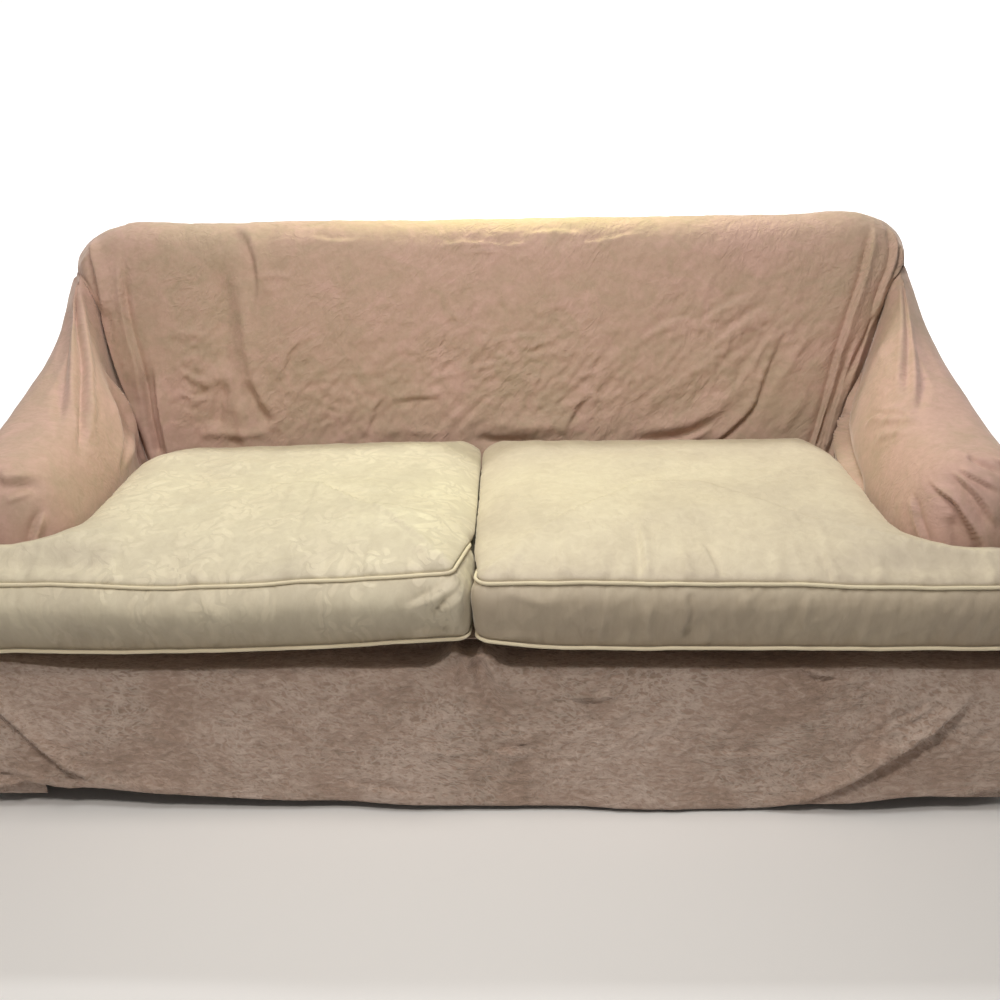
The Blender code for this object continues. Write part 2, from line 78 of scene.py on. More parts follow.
# Back: recline, top roll and rear
BACK_TUCK_Y = 0.600
RECLINE_TOP_Y = 0.684
RECLINE_TOP_Z = 0.798
TOP_ROLL_RISE = 0.064
REAR_Y = 0.820
SHOULDER_RISE = 0.5
SHOULDER_PART = 1 / 3
BACK_ROUND_POWER = 6.0
BACK_STRAIGHT_PART = 0.55

# Skirt
APRON_Y = 0.034
APRON_HALF_WIDTH = 0.892
APRON_KICK = 0.004
APRON_LIP_Z = 0.279
APRON_LIP_DEPTH = 0.022
RECESS_DEPTH = 0.075
RECESS_DROP = 0.010
APRON_LIP_WAVER = 0.0025
# Where the apron's edge is pulled up between the cushions: x, rise, reach
LIP_PEAKS = ((-0.042, 0.034, 0.050), (0.006, 0.028, 0.045))
LIP_CORNER_RISE = 0.012
LIP_CORNER_X = -0.66
LIP_CORNER_RUN = 0.12
APRON_LIP_UNEVENNESS = 0.0012
APRON_COLUMNS = 361
DECK_LAP_DROP = 0.004
APRON_RUMPLE_SHARE = 1.3
LIP_RADIUS = 0.0025
APRON_WAVE = 0.005
APRON_CREASE_SHARE = 1.5
APRON_WAVE_LENGTH = 0.37
SIDE_FRONT_Y = 0.040
SIDE_FLARE = 0.008
SIDE_WAVE = 0.3
SIDE_WAVE_LENGTH = 0.25
SIDE_HEM_LIFT_RUN = 0.4
CORNER_HEM_RISE = 0.040
# Heights of the front hem: x, height
FRONT_HEM = (
    (-0.90, 0.046), (-0.813, 0.050), (-0.773, 0.060), (-0.721, 0.046), (-0.661, 0.045), (-0.585, 0.039),
    (-0.45, 0.030), (-0.33, 0.022), (-0.20, 0.019), (0.00, 0.013), (0.17, 0.011), (0.35, 0.008),
    (0.46, 0.009), (0.60, 0.022), (0.672, 0.034), (0.72, 0.036), (0.79, 0.034), (0.835, 0.048), (0.90, 0.055),
)
HEM_TURN = 0.026
FLAP_LENGTH = 0.115
FLAP_STRAIGHT_PART = 0.4
FLAP_INSET = 0.0105
FLAP_CORNER_RADIUS = 0.012
FLAP_TOP_Z = 0.270
FLAP_HEM_Z = 0.020
DECK_FRONT_Y = 0.060
DECK_WING_REAR_Y = 0.207
DECK_MARGIN = 0.007
DECK_WING_HALF = 0.8887

# Seat cushions, drawn by the line on which their welts run
LEFT_CUSHION_INNER_X = 0.0166
RIGHT_CUSHION_INNER_X = -0.0054
CUSHION_WING_X = 0.884
CUSHION_WING_Y = 0.081
CUSHION_NOTCH_X = 0.6625
CUSHION_REAR_X = 0.6410
CUSHION_REAR_Y = 0.578
CUSHION_BOTTOM_Z = 0.3215
LOWER_WELT_Z = 0.331
UPPER_WELT_Z = 0.445
WELT_RADIUS = 0.0029
WELT_SIDES = 12

HOLD_POINT = np.array((0.0, (RECLINE_TOP_Y + REAR_Y) / 2, RECLINE_TOP_Z + TOP_ROLL_RISE - CLOTH))
FLOOR_Z = -HOLD_POINT[2]

# A crease runs along a path on its sheet.  lean 0 is a soft ridge (or trough, height below 0),
# lean 1 a pleat that drops on the left of its path and -1 one that drops on the right.
Crease = namedtuple("Crease", "path height width lean fade_in fade_out")

# Places on the inside back are (x, height above the floor).
BACK_CREASES = (
    # Left: pleats beside the arm
    Crease(
        ((-0.786, 0.842), (-0.781, 0.815), (-0.773, 0.776), (-0.768, 0.735), (-0.766, 0.69)),
        0.010, 0.009, -1, 0.15, 0.25,
    ),
    Crease(((-0.762, 0.82), (-0.745, 0.72), (-0.730, 0.63), (-0.708, 0.53)), 0.006, 0.017, 0, 0.3, 0.2),
    Crease(
        ((-0.716, 0.825), (-0.721, 0.755), (-0.716, 0.680), (-0.702, 0.609), (-0.694, 0.56), (-0.688, 0.50)),
        0.011, 0.008, 1, 0.3, 0.2,
    ),
    Crease(
        ((-0.697, 0.62), (-0.695, 0.56), (-0.689, 0.50), (-0.680, 0.43)),
        -0.014, 0.006, 0, 0.4, 0.0,
    ),
    Crease(
        ((-0.674, 0.61), (-0.671, 0.55), (-0.666, 0.49), (-0.658, 0.43)),
        0.018, 0.011, -1, 0.55, 0.0,
    ),
    Crease(((-0.640, 0.60), (-0.630, 0.50), (-0.620, 0.43)), 0.004, 0.016, 0, 0.4, 0.0),
    # Left: fold below the top, its trough and the tent at its foot
    Crease(
        ((-0.505, 0.862), (-0.470, 0.838), (-0.455, 0.80), (-0.453, 0.75), (-0.462, 0.70)),
        0.008, 0.014, -1, 0.35, 0.5,
    ),
    Crease(
        ((-0.530, 0.82), (-0.522, 0.74), (-0.524, 0.65), (-0.532, 0.56)),
        -0.014, 0.024, 0, 0.4, 0.2,
    ),
    Crease(
        ((-0.490, 0.78), (-0.484, 0.68), (-0.474, 0.59), (-0.458, 0.53), (-0.430, 0.485)),
        0.007, 0.012, 0, 0.4, 0.2,
    ),
    Crease(((-0.533, 0.575), (-0.542, 0.53), (-0.556, 0.476)), -0.012, 0.014, 0, 0.3, 0.12),
    Crease(((-0.492, 0.57), (-0.470, 0.52), (-0.446, 0.478)), -0.013, 0.012, 0, 0.3, 0.12),
    Crease(
        ((-0.600, 0.462), (-0.560, 0.464), (-0.500, 0.462), (-0.440, 0.463)),
        0.006, 0.009, 0, 0.2, 0.2,
    ),
    Crease(((-0.508, 0.54), (-0.500, 0.50), (-0.495, 0.44)), 0.009, 0.016, 0, 0.3, 0.0),
    Crease(((-0.430, 0.475), (-0.440, 0.43)), -0.006, 0.009, 0, 0.3, 0.0),
    Crease(((-0.530, 0.452), (-0.515, 0.442), (-0.500, 0.450)), -0.006, 0.008, 0, 0.2, 0.2),
    Crease(((-0.445, 0.770), (-0.410, 0.772), (-0.370, 0.766)), 0.0030, 0.006, 0, 0.2, 0.6),
    Crease(((-0.442, 0.745), (-0.400, 0.742)), 0.0022, 0.006, 0, 0.2, 0.6),
    # Left: crumpled patch
    Crease(((-0.640, 0.655), (-0.590, 0.662), (-0.560, 0.645)), 0.0035, 0.008, 0, 0.3, 0.3),
    Crease(((-0.625, 0.600), (-0.580, 0.575), (-0.545, 0.575)), 0.0040, 0.008, 1, 0.3, 0.3),
    Crease(((-0.630, 0.555), (-0.590, 0.535), (-0.550, 0.540)), 0.0035, 0.007, 1, 0.3, 0.3),
    Crease(((-0.625, 0.510), (-0.590, 0.500)), 0.0035, 0.008, 0, 0.3, 0.3),
    # Middle: long shallow dents
    Crease(((-0.415, 0.560), (-0.400, 0.610), (-0.370, 0.650)), -0.0045, 0.008, 1, 0.3, 0.3),
    Crease(((-0.250, 0.450), (-0.235, 0.490), (-0.215, 0.535)), -0.0045, 0.008, 1, 0.2, 0.4),
    Crease(((-0.200, 0.520), (-0.140, 0.532), (-0.080, 0.528)), 0.0040, 0.008, -1, 0.3, 0.3),
    Crease(((-0.110, 0.455), (-0.075, 0.495), (-0.040, 0.520)), 0.0045, 0.008, 1, 0.3, 0.4),
    Crease(((-0.070, 0.455), (-0.030, 0.500), (0.020, 0.545)), 0.0045, 0.009, 1, 0.2, 0.4),
    Crease(((-0.290, 0.460), (-0.180, 0.466), (-0.060, 0.458)), 0.0040, 0.014, 0, 0.3, 0.3),
    Crease(((-0.060, 0.585), (0.010, 0.600), (0.060, 0.615)), 0.0030, 0.007, 1, 0.3, 0.4),
    Crease(((0.000, 0.640), (0.070, 0.655), (0.120, 0.650)), 0.0028, 0.007, 1, 0.3, 0.4),
    Crease(((0.080, 0.500), (0.130, 0.560), (0.190, 0.600)), 0.0040, 0.009, 1, 0.2, 0.4),
    # Middle: bulge of slack cloth tucked behind the cushions
    Crease(((-0.020, 0.480), (0.100, 0.472), (0.230, 0.476)), 0.009, 0.018, 0, 0.4, 0.4),
    Crease(((-0.040, 0.448), (0.040, 0.440), (0.120, 0.448)), -0.013, 0.010, 0, 0.3, 0.5),
    Crease(((0.150, 0.450), (0.175, 0.505), (0.215, 0.550)), 0.0045, 0.009, -1, 0.1, 0.5),
    # Right: tension folds
    Crease(((0.270, 0.452), (0.380, 0.472), (0.450, 0.505), (0.520, 0.560)), 0.010, 0.016, 0, 0.3, 0.4),
    Crease(((0.280, 0.438), (0.390, 0.446), (0.460, 0.480)), -0.012, 0.009, -1, 0.3, 0.3),
    Crease(
        ((0.447, 0.432), (0.492, 0.470), (0.530, 0.515), (0.553, 0.59), (0.600, 0.70)),
        0.008, 0.009, -1, 0.1, 0.6,
    ),
    Crease(((0.300, 0.520), (0.390, 0.560), (0.470, 0.620), (0.540, 0.70)), 0.005, 0.014, 0, 0.3, 0.5),
    Crease(((0.480, 0.53), (0.520, 0.60), (0.575, 0.69)), 0.005, 0.010, 1, 0.3, 0.5),
    Crease(((0.560, 0.52), (0.600, 0.60), (0.640, 0.66)), 0.005, 0.010, 0, 0.3, 0.4),
    Crease(((0.580, 0.45), (0.610, 0.50), (0.640, 0.54)), 0.004, 0.010, 0, 0.2, 0.4),
    Crease(((0.410, 0.665), (0.455, 0.70), (0.525, 0.73)), 0.004, 0.009, 1, 0.3, 0.4),
    Crease(((0.430, 0.62), (0.480, 0.66), (0.560, 0.72)), 0.004, 0.010, 1, 0.3, 0.4),
    Crease(((0.300, 0.640), (0.350, 0.672), (0.410, 0.690)), 0.003, 0.009, 1, 0.3, 0.4),
    # Top: crinkles along the roll
    Crease(
        ((-0.110, 0.822), (-0.040, 0.830), (0.040, 0.824), (0.100, 0.830)),
        0.0035, 0.006, 1, 0.3, 0.3,
    ),
    Crease(((-0.050, 0.812), (0.000, 0.816), (0.050, 0.810)), 0.003, 0.005, 1, 0.4, 0.4),
    Crease(((0.060, 0.840), (0.140, 0.846), (0.200, 0.838)), 0.003, 0.006, 1, 0.4, 0.4),
    Crease(((0.160, 0.824), (0.240, 0.832), (0.300, 0.843)), 0.003, 0.006, 1, 0.3, 0.3),
    Crease(((-0.360, 0.845), (-0.290, 0.835), (-0.230, 0.842)), 0.003, 0.007, 1, 0.4, 0.4),
    # Right: pleats beside the arm
    Crease(
        (
            (0.647, 0.430), (0.664, 0.497), (0.674, 0.547), (0.690, 0.624), (0.707, 0.691),
            (0.725, 0.753), (0.736, 0.813), (0.742, 0.850),
        ),
        0.012, 0.007, 1, 0.0, 0.12,
    ),
    Crease(((0.700, 0.60), (0.722, 0.68), (0.748, 0.78)), 0.004, 0.016, 0, 0.3, 0.3),
    Crease(((0.672, 0.435), (0.684, 0.50), (0.702, 0.575), (0.724, 0.66)), 0.008, 0.008, 1, 0.0, 0.5),
    Crease(((0.657, 0.435), (0.670, 0.49), (0.679, 0.54)), -0.010, 0.005, 0, 0.0, 0.6),
    Crease(((0.690, 0.53), (0.718, 0.59), (0.742, 0.645), (0.755, 0.69)), -0.010, 0.006, 0, 0.4, 0.2),
    Crease(
        ((0.748, 0.675), (0.762, 0.728), (0.778, 0.775), (0.781, 0.815), (0.770, 0.845)),
        0.010, 0.006, 1, 0.2, 0.2,
    ),
    Crease(((0.784, 0.745), (0.801, 0.784), (0.798, 0.815)), 0.006, 0.006, 1, 0.2, 0.3),
)

# Places on an arm are (turn round the arm, rise): turn 0 to 1 runs along the inner side from the
# rear, 1 to 2 round the nose and 2 to 3 along the outer side; rise is 0 at the foot, 1 on the ridge.
LEFT_ARM_CREASES = (
    # Edge of the slack cloth beside the valley, and the pleats behind it
    Crease(
        ((0.09, 0.60), (0.13, 0.54), (0.13, 0.48), (0.115, 0.42), (0.13, 0.28)),
        0.018, 0.011, -1, 0.4, 0.2,
    ),
    Crease(
        ((0.17, 0.68), (0.165, 0.58), (0.14, 0.47), (0.17, 0.38), (0.37, 0.32), (0.58, 0.27)),
        0.009, 0.011, 0, 0.35, 0.3,
    ),
    Crease(((0.24, 0.60), (0.24, 0.48), (0.30, 0.40), (0.42, 0.35)), -0.006, 0.012, 0, 0.35, 0.3),
    Crease(((0.06, 0.46), (0.085, 0.38), (0.13, 0.31), (0.15, 0.22)), -0.009, 0.006, 0, 0.3, 0.0),
    Crease(((0.035, 0.50), (0.045, 0.36), (0.06, 0.24)), 0.008, 0.008, 0, 0.3, 0.1),
    Crease(
        ((0.21, 0.58), (0.33, 0.50), (0.42, 0.39), (0.55, 0.31), (0.60, 0.22)),
        0.007, 0.010, -1, 0.3, 0.3,
    ),
    # Soft folds that hang from the shoulder seam
    Crease(
        ((0.02, 0.99), (0.18, 0.925), (0.32, 0.85), (0.53, 0.77), (0.73, 0.61), (0.82, 0.48)),
        -0.012, 0.012, 0, 0.15, 0.25,
    ),
    Crease(
        ((0.02, 0.93), (0.16, 0.865), (0.30, 0.79), (0.50, 0.70), (0.70, 0.53)),
        0.010, 0.015, 0, 0.15, 0.3,
    ),
    Crease(((0.12, 1.00), (0.36, 0.985), (0.59, 0.93), (0.78, 0.80)), -0.009, 0.014, 0, 0.1, 0.3),
    Crease(((0.06, 1.00), (0.27, 0.955), (0.46, 0.90), (0.66, 0.79)), 0.008, 0.013, 0, 0.1, 0.3),
    # Wrapped front
    Crease(((1.50, 0.66), (1.38, 0.63), (1.26, 0.605), (1.12, 0.57)), -0.008, 0.020, 0, 0.1, 0.5),
    Crease(((1.44, 0.70), (1.30, 0.69), (1.16, 0.65)), 0.006, 0.018, 0, 0.1, 0.5),
    Crease(((1.42, 0.52), (1.32, 0.545), (1.22, 0.57)), 0.004, 0.008, 0, 0.1, 0.5),
    Crease(
        ((1.36, 0.18), (1.345, 0.25), (1.32, 0.31), (1.27, 0.385), (1.22, 0.42)),
        0.010, 0.009, -1, 0.0, 0.35,
    ),
    Crease(((1.50, 0.72), (1.60, 0.60), (1.70, 0.30)), 0.007, 0.014, 1, 0.3, 0.1),
    Crease(((1.54, 0.85), (1.70, 0.74), (1.84, 0.50)), 0.006, 0.016, 1, 0.3, 0.3),
)
RIGHT_ARM_CREASES = (
    # Edge of the arm's cloth beside the valley, and the pleats behind it
    Crease(
        ((0.02, 0.58), (0.04, 0.48), (0.09, 0.41), (0.28, 0.32), (0.42, 0.26), (0.60, 0.20), (0.72, 0.18)),
        0.017, 0.011, 1, 0.25, 0.2,
    ),
    Crease(((0.045, 0.46), (0.07, 0.40), (0.10, 0.33), (0.16, 0.22)), -0.014, 0.007, 0, 0.3, 0.2),
    Crease(((0.02, 0.42), (0.03, 0.33), (0.06, 0.24)), 0.007, 0.007, 0, 0.3, 0.0),
    Crease(((0.03, 0.40), (0.05, 0.33), (0.09, 0.24)), -0.010, 0.006, 0, 0.3, 0.1),
    Crease(((0.10, 0.40), (0.17, 0.33), (0.26, 0.27)), -0.010, 0.007, 0, 0.3, 0.3),
    Crease(((0.015, 0.86), (0.035, 0.905), (0.055, 0.95), (0.07, 1.00)), -0.004, 0.0045, 0, 0.1, 0.0),
    # Soft folds that hang from the shoulder seam
    Crease(((0.03, 0.98), (0.29, 0.94), (0.50, 0.87), (0.62, 0.80)), -0.006, 0.011, 0, 0.15, 0.3),
    Crease(((0.03, 0.94), (0.26, 0.88), (0.46, 0.80), (0.56, 0.72)), 0.005, 0.013, 0, 0.15, 0.3),
    Crease(((0.20, 1.00), (0.41, 0.985), (0.58, 0.95), (0.76, 0.80)), -0.006, 0.012, 0, 0.2, 0.3),
    Crease(((0.10, 1.00), (0.35, 0.965), (0.54, 0.91), (0.68, 0.84)), 0.006, 0.012, 0, 0.2, 0.3),
    Crease(((0.15, 0.72), (0.24, 0.70), (0.30, 0.73)), 0.003, 0.008, 0, 0.3, 0.4),
    # Short crinkles across the roll
    Crease(((0.55, 0.52), (0.66, 0.66), (0.78, 0.86)), 0.004, 0.007, 0, 0.3, 0.3),
    Crease(((0.50, 0.56), (0.60, 0.68), (0.70, 0.84)), 0.003, 0.006, 0, 0.3, 0.3),
    Crease(((0.62, 0.44), (0.70, 0.58), (0.82, 0.74)), 0.004, 0.008, 0, 0.3, 0.4),
    Crease(((0.46, 0.44), (0.50, 0.52), (0.58, 0.62)), 0.004, 0.007, 1, 0.3, 0.4),
    # Wrapped front
    Crease(
        ((1.08, 0.44), (1.14, 0.39), (1.19, 0.325), (1.25, 0.25), (1.27, 0.18)),
        0.008, 0.007, 1, 0.3, 0.0,
    ),
    Crease(
        ((1.12, 0.60), (1.19, 0.545), (1.34, 0.475), (1.42, 0.375), (1.475, 0.28), (1.50, 0.18)),
        0.011, 0.010, -1, 0.5, 0.0,
    ),
    Crease(((1.33, 0.40), (1.39, 0.31), (1.43, 0.20)), -0.010, 0.014, 0, 0.4, 0.0),
    Crease(
        ((1.26, 0.68), (1.34, 0.635), (1.43, 0.555), (1.49, 0.46), (1.53, 0.32)),
        0.008, 0.010, -1, 0.3, 0.2,
    ),
    Crease(((1.30, 0.74), (1.38, 0.68), (1.48, 0.62), (1.56, 0.52)), 0.006, 0.010, -1, 0.3, 0.3),
    Crease(((1.32, 0.88), (1.41, 0.84), (1.53, 0.755), (1.62, 0.66)), -0.007, 0.011, 0, 0.3, 0.3),
    Crease(((1.60, 0.85), (1.72, 0.66), (1.80, 0.40)), 0.007, 0.014, -1, 0.3, 0.2),
)

# Places on the apron are (x, height above the floor).
APRON_CREASES = (
    # Middle: pinch under the place where the cushions meet
    Crease(((-0.030, 0.318), (-0.010, 0.253), (0.008, 0.219)), 0.008, 0.006, 0, 0.0, 0.5),
    Crease(((-0.042, 0.325), (-0.040, 0.250), (-0.046, 0.190)), 0.005, 0.006, 0, 0.0, 0.6),
    Crease(
        ((-0.012, 0.300), (0.002, 0.250), (0.029, 0.195), (0.077, 0.142)),
        -0.010, 0.013, 0, 0.1, 0.6,
    ),
    Crease(((0.006, 0.325), (0.022, 0.270), (0.045, 0.220)), 0.007, 0.009, 0, 0.0, 0.6),
    Crease(((-0.080, 0.30), (-0.110, 0.20), (-0.120, 0.12)), -0.004, 0.030, 0, 0.2, 0.4),
    Crease(((-0.105, 0.126), (-0.070, 0.119), (-0.034, 0.114)), 0.004, 0.007, 0, 0.3, 0.4),
    # Left
    Crease(
        ((-0.830, 0.245), (-0.782, 0.188), (-0.759, 0.155), (-0.711, 0.095), (-0.664, 0.054)),
        0.010, 0.011, -1, 0.2, 0.2,
    ),
    Crease(((-0.880, 0.10), (-0.820, 0.072), (-0.760, 0.070)), -0.006, 0.009, 0, 0.2, 0.4),
    Crease(((-0.700, 0.062), (-0.580, 0.050), (-0.460, 0.056)), 0.003, 0.012, 0, 0.3, 0.4),
    # Right: crumpled band that rises to the corner
    Crease(
        ((0.430, 0.010), (0.530, 0.024), (0.645, 0.100), (0.732, 0.175), (0.800, 0.235)),
        0.009, 0.011, -1, 0.4, 0.2,
    ),
    Crease(((0.560, 0.055), (0.650, 0.125), (0.735, 0.200), (0.800, 0.260)), 0.004, 0.016, 0, 0.4, 0.2),
    Crease(((0.610, 0.050), (0.690, 0.110), (0.780, 0.190)), -0.006, 0.010, 0, 0.3, 0.3),
    Crease(((0.500, 0.282), (0.530, 0.268), (0.580, 0.262)), 0.005, 0.007, -1, 0.1, 0.4),
    # Short creases
    Crease(((0.010, 0.128), (0.050, 0.124), (0.095, 0.127)), 0.006, 0.008, 1, 0.4, 0.4),
    Crease(((-0.260, 0.060), (-0.190, 0.048), (-0.110, 0.040)), 0.004, 0.009, 1, 0.4, 0.4),
    Crease(((-0.180, 0.055), (-0.130, 0.045), (-0.100, 0.050)), -0.003, 0.007, 0, 0.4, 0.4),
    Crease(((0.125, 0.228), (0.170, 0.222), (0.225, 0.230)), 0.004, 0.006, -1, 0.3, 0.4),
    Crease(((-0.560, 0.150), (-0.500, 0.142), (-0.470, 0.147)), 0.003, 0.007, 0, 0.4, 0.4),
    Crease(((0.330, 0.130), (0.420, 0.118), (0.500, 0.130)), 0.003, 0.010, 1, 0.4, 0.4),
)

# Places on a cushion's top are (distance from the middle of the sofa, depth).
LEFT_TOP_CREASES = (
    Crease(((0.060, 0.004), (0.085, 0.040), (0.120, 0.070)), 0.0030, 0.008, 0, 0.1, 0.6),
    Crease(((0.170, 0.004), (0.165, 0.060)), 0.0022, 0.008, 0, 0.1, 0.6),
    Crease(((0.280, 0.004), (0.290, 0.070)), 0.0020, 0.010, 0, 0.1, 0.6),
    Crease(((0.430, 0.004), (0.420, 0.060)), 0.0022, 0.009, 0, 0.1, 0.6),
    Crease(((0.560, 0.004), (0.570, 0.055)), 0.0025, 0.009, 0, 0.1, 0.6),
    Crease(((0.690, 0.004), (0.675, 0.060)), 0.0025, 0.008, 0, 0.1, 0.6),
    Crease(((0.730, 0.004), (0.725, 0.050)), 0.0025, 0.007, 0, 0.1, 0.6),
    Crease(((0.110, 0.30), (0.200, 0.28), (0.330, 0.31)), 0.0028, 0.030, 0, 0.4, 0.4),
    Crease(((0.300, 0.42), (0.420, 0.38), (0.560, 0.40)), 0.0028, 0.030, 0, 0.4, 0.4),
)
RIGHT_TOP_CREASES = (
    Crease(((0.040, 0.004), (0.060, 0.050), (0.075, 0.080)), 0.0030, 0.009, 0, 0.1, 0.6),
    Crease(((0.130, 0.004), (0.126, 0.060), (0.130, 0.090)), 0.0030, 0.008, 0, 0.1, 0.6),
    Crease(((0.185, 0.004), (0.190, 0.045)), 0.0022, 0.007, 0, 0.1, 0.6),
    Crease(((0.247, 0.004), (0.250, 0.070), (0.244, 0.140)), 0.0040, 0.007, 1, 0.1, 0.5),
    Crease(((0.317, 0.004), (0.310, 0.070)), 0.0032, 0.007, 0, 0.1, 0.6),
    Crease(((0.362, 0.004), (0.348, 0.060), (0.340, 0.090)), 0.0038, 0.007, -1, 0.1, 0.5),
    Crease(((0.450, 0.004), (0.455, 0.060)), 0.0025, 0.009, 0, 0.1, 0.6),
    Crease(((0.532, 0.004), (0.520, 0.060)), 0.0036, 0.007, 1, 0.1, 0.5),
    Crease(((0.600, 0.004), (0.610, 0.050)), 0.0024, 0.008, 0, 0.1, 0.6),
    Crease(((0.664, 0.004), (0.655, 0.050)), 0.0030, 0.007, 0, 0.1, 0.6),
    Crease(((0.770, 0.004), (0.765, 0.045)), 0.0024, 0.008, 0, 0.1, 0.6),
    Crease(((0.100, 0.36), (0.240, 0.40), (0.420, 0.37)), 0.0028, 0.035, 0, 0.4, 0.4),
    Crease(((0.140, 0.20), (0.300, 0.17), (0.500, 0.20)), 0.0026, 0.035, 0, 0.4, 0.4),
)

# Places on a cushion's front are (distance from the middle of the sofa, height above the floor).
LEFT_FRONT_CREASES = (
    Crease(((0.030, 0.462), (0.070, 0.440), (0.120, 0.418)), 0.0050, 0.007, 1, 0.0, 0.5),
    Crease(((0.026, 0.455), (0.055, 0.420), (0.080, 0.385)), 0.0045, 0.007, 1, 0.0, 0.5),
    Crease(((0.022, 0.440), (0.038, 0.400), (0.045, 0.360)), 0.0035, 0.007, 0, 0.0, 0.5),
    Crease(((0.022, 0.366), (0.070, 0.360), (0.130, 0.352)), 0.0035, 0.006, 0, 0.1, 0.5),
    Crease(((0.180, 0.440), (0.190, 0.400), (0.185, 0.360)), 0.0022, 0.009, 0, 0.2, 0.4),
    Crease(((0.330, 0.350), (0.322, 0.380), (0.335, 0.415)), 0.0024, 0.008, 0, 0.1, 0.5),
    Crease(((0.410, 0.345), (0.418, 0.375)), 0.0026, 0.007, 0, 0.1, 0.6),
    Crease(((0.560, 0.435), (0.552, 0.395)), 0.0022, 0.009, 0, 0.1, 0.5),
    Crease(((0.660, 0.345), (0.668, 0.385)), 0.0022, 0.008, 0, 0.1, 0.6),
)
RIGHT_FRONT_CREASES = (
    Crease(((0.010, 0.350), (0.070, 0.356), (0.120, 0.350)), 0.0030, 0.007, 0, 0.1, 0.5),
    Crease(((0.040, 0.440), (0.085, 0.425), (0.130, 0.420)), 0.0028, 0.008, 0, 0.1, 0.5),
    Crease(((0.190, 0.345), (0.186, 0.375), (0.192, 0.410)), 0.0032, 0.006, 0, 0.1, 0.5),
    Crease(((0.225, 0.342), (0.232, 0.380)), 0.0026, 0.006, 0, 0.1, 0.6),
    Crease(((0.262, 0.345), (0.256, 0.385), (0.262, 0.430)), 0.0034, 0.006, 0, 0.1, 0.3),
    Crease(((0.312, 0.435), (0.316, 0.395), (0.310, 0.350)), 0.0034, 0.007, 1, 0.1, 0.3),
    Crease(((0.350, 0.343), (0.346, 0.385)), 0.0028, 0.006, 0, 0.1, 0.6),
    Crease(((0.400, 0.432), (0.410, 0.395)), 0.0028, 0.007, 0, 0.1, 0.5),
    Crease(((0.490, 0.438), (0.484, 0.400), (0.492, 0.360)), 0.0034, 0.007, -1, 0.1, 0.4),
    Crease(((0.580, 0.345), (0.588, 0.385)), 0.0026, 0.008, 0, 0.1, 0.6),
    Crease(((0.680, 0.435), (0.672, 0.395)), 0.0026, 0.008, 0, 0.1, 0.6),
)

# A rumple is a patch of small crinkles on a sheet: its middle, its reach both ways, and height.
Rumple = namedtuple("Rumple", "middle reach height")
BACK_RUMPLES = (
    Rumple((-0.585, 0.580), (0.055, 0.100), 0.0055),
    Rumple((-0.300, 0.530), (0.170, 0.110), 0.0045),
    Rumple((0.000, 0.600), (0.200, 0.130), 0.0040),
    Rumple((0.230, 0.540), (0.160, 0.110), 0.0040),
    Rumple((0.500, 0.630), (0.140, 0.130), 0.0045),
    Rumple((0.050, 0.830), (0.300, 0.025), 0.0022),
)
ARM_RUMPLES = (
    Rumple((0.66, 0.66), (0.14, 0.16), 0.0030),
    Rumple((0.35, 0.75), (0.25, 0.20), 0.0014),
)
APRON_RUMPLES = (
    Rumple((0.720, 0.165), (0.100, 0.060), 0.0055),
    Rumple((0.600, 0.240), (0.140, 0.040), 0.0026),
    Rumple((-0.300, 0.180), (0.500, 0.120), 0.0018),
    Rumple((0.250, 0.160), (0.400, 0.120), 0.0020),
    Rumple((-0.780, 0.080), (0.100, 0.050), 0.0030),
)


# ---------------------------------------------------------------- small helpers

PATH_STEPS = 8
CORNER_STEPS = 14
# Small crinkles of a rumpled patch: size, step of the seed, stretch
RUMPLE_SIZES = ((0.026, 0.0, 2.0), (0.014, 5.1, 1.8))
RUMPLE_SHARE = 1.15
# Soft lumps of each cloth: height, size
LUMPS = {
    "inside_arm": (0.0016, 0.11),
    "outside_arm": (0.0022, 0.10),
    "inside_back": (0.0024, 0.16),
    "outside_back": (0.003, 0.13),
    "front_apron": (0.0016, 0.12),
    "corner_flap": (0.0012, 0.06),
    "deck": (0.0006, 0.10),
    "cushion_rim": (0.0011, 0.055),
    "cushion_top": (0.0034, 0.19),
}
# Fine crinkles of each cloth: height, size, the way they run, how stretched they are that way
CRINKLES = {
    "inside_arm": (0.0007, 0.045, (0.0, 0.5, 1.0), 1.8),
    "outside_arm": (0.0014, 0.040, (0.0, 0.3, 1.0), 1.8),
    "inside_back": (0.0013, 0.050, (0.6, 0.0, 1.0), 1.8),
    "inside_back_fine": (0.0013, 0.019, (0.6, 0.0, 1.0), 1.6),
    "outside_back": (0.0015, 0.045, (0.1, 0.0, 1.0), 1.8),
    "front_apron": (0.0010, 0.034, (1.0, 0.0, 0.3), 1.5),
}


def mix(first, second, amount):
    """The value or point that lies amount of the way from first to second."""
    return first + (second - first) * amount


def ease(amount):
    """A smooth step from 0 to 1."""
    amount = np.clip(amount, 0.0, 1.0)
    return amount * amount * (3.0 - 2.0 * amount)


def powered(value, power):
    """A sine or cosine bent towards a squarer superellipse, with its sign kept."""
    return np.sign(value) * np.abs(value) ** (2.0 / power)


def points_of(x, y, z):
    """Points from their three coordinates."""
    return np.stack(np.broadcast_arrays(x, y, z), axis=-1)


def unit(vectors):
    """Vectors made one long."""
    return vectors / np.maximum(np.linalg.norm(vectors, axis=-1, keepdims=True), 1e-9)


def run_length(points):
    """Length along a line of points, from its start to each of them."""
    steps = np.linalg.norm(np.diff(points, axis=0), axis=1)
    return np.concatenate(([0.0], np.cumsum(steps)))


